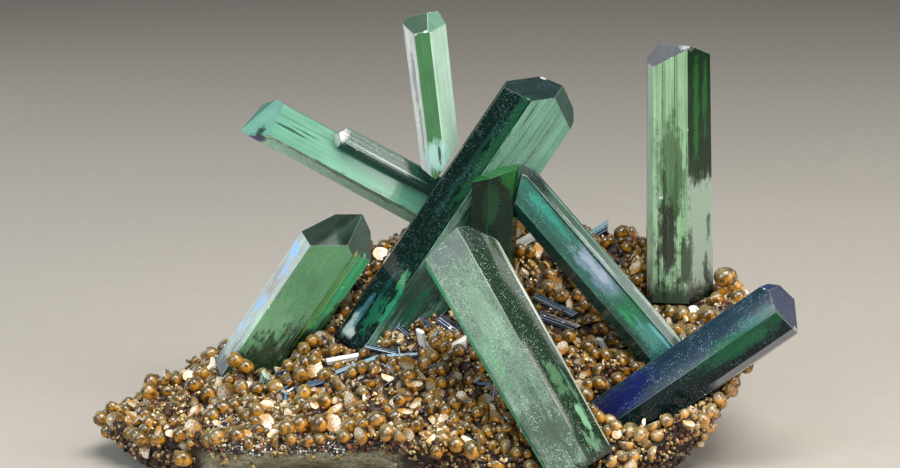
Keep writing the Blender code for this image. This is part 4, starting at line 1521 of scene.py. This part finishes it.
@dataclass
class Crust:
    """Everything that crusts the rock: spherules whole and split, sandy grains, crumbs and slivers."""

    seed: int = 5
    # The way away from the light: the spherules' glow is painted on that side, and their highlight on the other.
    painted_light_away: Vector = field(default_factory=lambda: Vector((0.45, -0.35, -0.82)))
    lone_balls: tuple[Seat, ...] = (Seat(Vector((50.9, 6.6, 29.7)) * MM, Vector((0, 0, 1)), 2.35 * MM),)

    @staticmethod
    def kinds() -> list[GrainKind]:
        """The kinds of grain, in the order they are laid."""
        amber = {"slot": "amber_spherules", "holds": True, "region": Region.CRUST}
        return [
            GrainKind("split_spherules", GrainShape.HALF, tries=1800, sizes=(0.9, 1.8), tones=HONEY,
                      lift=(0.2, 0.8), touch=0.8, lean=(25, 95), **amber),
            GrainKind("fibrous_wedges", GrainShape.WEDGE, tries=900, sizes=(0.8, 1.6), tones=PALE,
                      lift=(0.2, 0.6), touch=0.8, lean=(0, 100), **amber),
            GrainKind("foot_spherules", GrainShape.BALL, tries=1500, sizes=(1.0, 1.6), tones=HONEY,
                      lift=(0.4, 1.7), touch=0.66, slot="amber_spherules", holds=True, region=Region.FEET),
            GrainKind("large_spherules", GrainShape.BALL, tries=9000, sizes=(1.15, 1.9), tones=HONEY,
                      lift=(0.1, 0.8), touch=0.66, **amber),
            GrainKind("middle_spherules", GrainShape.BALL, tries=7000, sizes=(0.75, 1.2), tones=HONEY,
                      lift=(0.1, 0.9), touch=0.68, **amber),
            GrainKind("small_spherules", GrainShape.BALL, tries=6000, sizes=(0.35, 0.7), tones=HONEY | PALE,
                      lift=(0.2, 1.4), touch=0.72, **amber),
            GrainKind("pearly_wedges", GrainShape.WEDGE, Region.CRUST, 2600, (0.35, 0.75), PALE,
                      lift=(0.8, 2.0), touch=0.62, lean=(0, 120), slot="amber_spherules"),
            GrainKind("gold_sand", GrainShape.CRUMB, Region.SAND, 13000, (0.2, 0.42), GOLD,
                      lift=(0.2, 3.4), touch=0.6),
            GrainKind("rusty_grains", GrainShape.CRUMB, Region.ANYWHERE, 14000, (0.2, 0.55), RUSTY,
                      lift=(-0.1, 1.2), touch=0.6),
            GrainKind("dark_crumbs", GrainShape.CRUMB, Region.EDGE, 5200, (0.2, 0.5), RUSTY | {"96948c": 0.12},
                      lift=(-0.1, 0.8), touch=0.6),
            GrainKind("sugar_grains", GrainShape.CRUMB, Region.SUGAR, 5200, (0.12, 0.3), SUGAR,
                      lift=(0.0, 1.6), touch=0.45),
            GrainKind("fine_slivers", GrainShape.SLIVER, Region.MIDDLE, 240, (0.6, 1.6), ICE,
                      lift=(0.6, 1.5), touch=0.42, lean=(55, 95), slot="blue_blade"),
        ]

    def build(self, seats: Seats) -> int:
        """Build and dress the crust.

        Args:
            seats: The places on the rock.

        Returns:
            How many pieces there are.
        """
        draw = random.Random(self.seed)
        finishes = {
            "amber_spherules": SpheruleFinish().make(),
            "rusty_rock": GrainFinish().make("grain_finish"),
            "blue_blade": GrainFinish(rough=0.2, clarity=0.45, dirt="20405e").make("sliver_finish"),
        }
        gold = GrainFinish(metal=0.2, rough=0.36).make("gold_finish")
        kinds = self.kinds()
        for kind in kinds:
            found = seats.settle(kind)
            if kind.name == "large_spherules":
                found += self.lone_balls
            tones = [kind.tone(draw, seat.place) for seat in found]
            turns = [kind.turn(draw, seat.normal) for seat in found]
            piece = lay_copies(kind.name, kind.shape.template(), found, tones, turns)
            self._store_away_from_light(piece.data)
            piece.data.materials.clear()
            piece.data.materials.append(gold if kind.tones is GOLD else finishes[kind.slot])
            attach(piece, BODY)
            log.info("%s: %d grains, %d faces", kind.name, len(found), len(piece.data.polygons))
        return len(kinds)

    def _store_away_from_light(self, mesh: bpy.types.Mesh) -> None:
        """Store how far each point is turned away from the light, which places the painted glow and the painted
        highlight of the spherules.
        """
        count = len(mesh.vertices)
        normals = np.zeros(count * 3, dtype=np.float32)
        mesh.vertex_normals.foreach_get("vector", normals)
        glow = normals.reshape(count, 3) @ np.array(self.painted_light_away.normalized(), dtype=np.float32)
        set_attribute(mesh, "glow", "FLOAT", "POINT", glow)


@dataclass(frozen=True)
class Softbox:
    """A soft lamp: where it stands round the specimen, its size in metres, and its power in watts."""

    azimuth: float
    elevation: float
    width: float
    height: float
    power: float
    colour: str = "ffffff"
    distance: float = 0.6

    def place(self, target: Vector) -> None:
        """Put the lamp in its place, turned to the specimen.

        Args:
            target: What it is turned to.
        """
        around = math.radians(self.azimuth)
        up = math.radians(self.elevation)
        away = Vector((math.sin(around) * math.cos(up), -math.cos(around) * math.cos(up), math.sin(up)))
        bpy.ops.object.light_add(type="AREA", location=target + away * self.distance)
        lamp = bpy.context.active_object
        lamp.rotation_euler = (-away).to_track_quat("-Z", "Y").to_euler()
        lamp.data.shape = "RECTANGLE"
        lamp.data.size = self.width
        lamp.data.size_y = self.height
        lamp.data.energy = self.power
        lamp.data.color = hue(self.colour)[:3]
        lamp.visible_camera = False


@dataclass
class Studio:
    """A plain pale floor that rises far away on every side, soft lamps and the camera."""

    target: Vector = field(default_factory=lambda: Vector((0.68, 2.61, 38.6)) * MM)
    camera_elevation: float = 12.0
    camera_distance: float = 450.0
    lens: float = 100.0
    floor_radius: float = 2.6
    rise_radius: float = 0.9
    rise_steps: int = 12
    lamps: tuple[Softbox, ...] = (
        Softbox(25, 62, 0.45, 0.35, 8.0, "fff8ee"),
        Softbox(-128, 12, 0.26, 0.40, 1.2, "eaf2ff"),
        Softbox(-42, 28, 0.28, 0.35, 2.6, "f4f8ff"),
        Softbox(58, 20, 0.28, 0.35, 2.4, "fffaf2"),
        Softbox(118, 22, 0.22, 0.40, 0.7, "ffffff"),
    )

    def build(self) -> None:
        """Build the floor, the lamps and the camera."""
        self._floor()
        for lamp in self.lamps:
            lamp.place(self.target)
        self._camera()
        world = bpy.data.worlds.new("soft_surround")
        world.use_nodes = True
        world.node_tree.nodes["Background"].inputs["Color"].default_value = hue("e4e6e8")
        world.node_tree.nodes["Background"].inputs["Strength"].default_value = 0.2
        bpy.context.scene.world = world
        bpy.context.scene.view_settings.view_transform = "Standard"
        bpy.context.scene.view_settings.look = "None"
        log.info("studio: %d lamps", len(self.lamps))

    def _floor(self) -> None:
        """Make a round floor whose rim is drawn up, ring by ring, into a low bowl."""
        bpy.ops.object.select_all(action="DESELECT")
        bpy.ops.mesh.primitive_circle_add(
            vertices=96, radius=self.floor_radius, fill_type="TRIFAN", location=(0, 0, -0.02 * MM)
        )
        floor = bpy.context.active_object
        floor.name = "studio_floor"
        bpy.ops.object.transform_apply(location=True, rotation=False, scale=False)
        with editing(floor):
            bpy.ops.mesh.select_mode(type="EDGE")
            bpy.ops.mesh.select_all(action="SELECT")
            bpy.ops.mesh.region_to_loop()
            radius = self.floor_radius
            height = 0.0
            for step in range(1, self.rise_steps + 1):
                angle = 0.5 * math.pi * step / self.rise_steps
                wide = self.floor_radius + self.rise_radius * math.sin(angle)
                high = self.rise_radius * (1 - math.cos(angle))
                bpy.ops.mesh.extrude_region_move(TRANSFORM_OT_translate={"value": (0, 0, high - height)})
                bpy.ops.transform.resize(value=(wide / radius, wide / radius, 1.0), center_override=(0, 0, 0))
                radius = wide
                height = high
        pick_only(floor)
        bpy.ops.object.shade_smooth()
        graph = Graph("floor_finish")
        own = graph.coordinates()
        cloud = graph.noise(own, 4.0, 2.0)
        graph.set("Base Color", graph.mix(graph.spread(cloud, 0.3, 0.7), hue("918e88"), hue("93908a")))
        graph.set("Roughness", 0.7)
        floor.data.materials.append(graph.material)

    def _camera(self) -> None:
        """Set the camera at the photo's angle."""
        up = math.radians(self.camera_elevation)
        away = Vector((0, -math.cos(up), math.sin(up)))
        bpy.ops.object.camera_add(location=self.target + away * self.camera_distance * MM)
        camera = bpy.context.active_object
        camera.rotation_euler = (math.pi / 2 - up, 0, 0)
        camera.data.lens = self.lens
        camera.data.sensor_width = 36.0
        camera.data.clip_start = 10 * MM
        camera.data.clip_end = 20.0
        bpy.context.scene.camera = camera


def crystal_surfaces() -> BVHTree:
    """The surfaces of every crystal and blade, as one tree to measure from.

    Returns:
        The tree.
    """
    points: list[Vector] = []
    faces: list[list[int]] = []
    for name, node in frame["nodes"].items():
        if name == "matrix":
            continue
        start = len(points)
        points += [v.co.copy() for v in node.data.vertices]
        faces += [[k + start for k in p.vertices] for p in node.data.polygons]
    return BVHTree.FromPolygons(points, faces)


def main() -> None:
    """Dress the specimen, and set the studio and the camera."""
    logging.basicConfig(level=logging.INFO, format="%(message)s")
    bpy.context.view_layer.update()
    tree = crystal_surfaces()
    slots = {p["node"]: p["material_slot"] for p in frame["record"]["subparts"]}
    grown = crystals()
    for crystal in grown:
        crystal.build()
    Blades().build(slots, {"matrix"} | {crystal.node for crystal in grown})
    rock = MatrixRock().build(tree)
    Crust().build(Seats(rock, tree, seed=21))
    Studio().build()


if __name__ == "__main__":
    main()
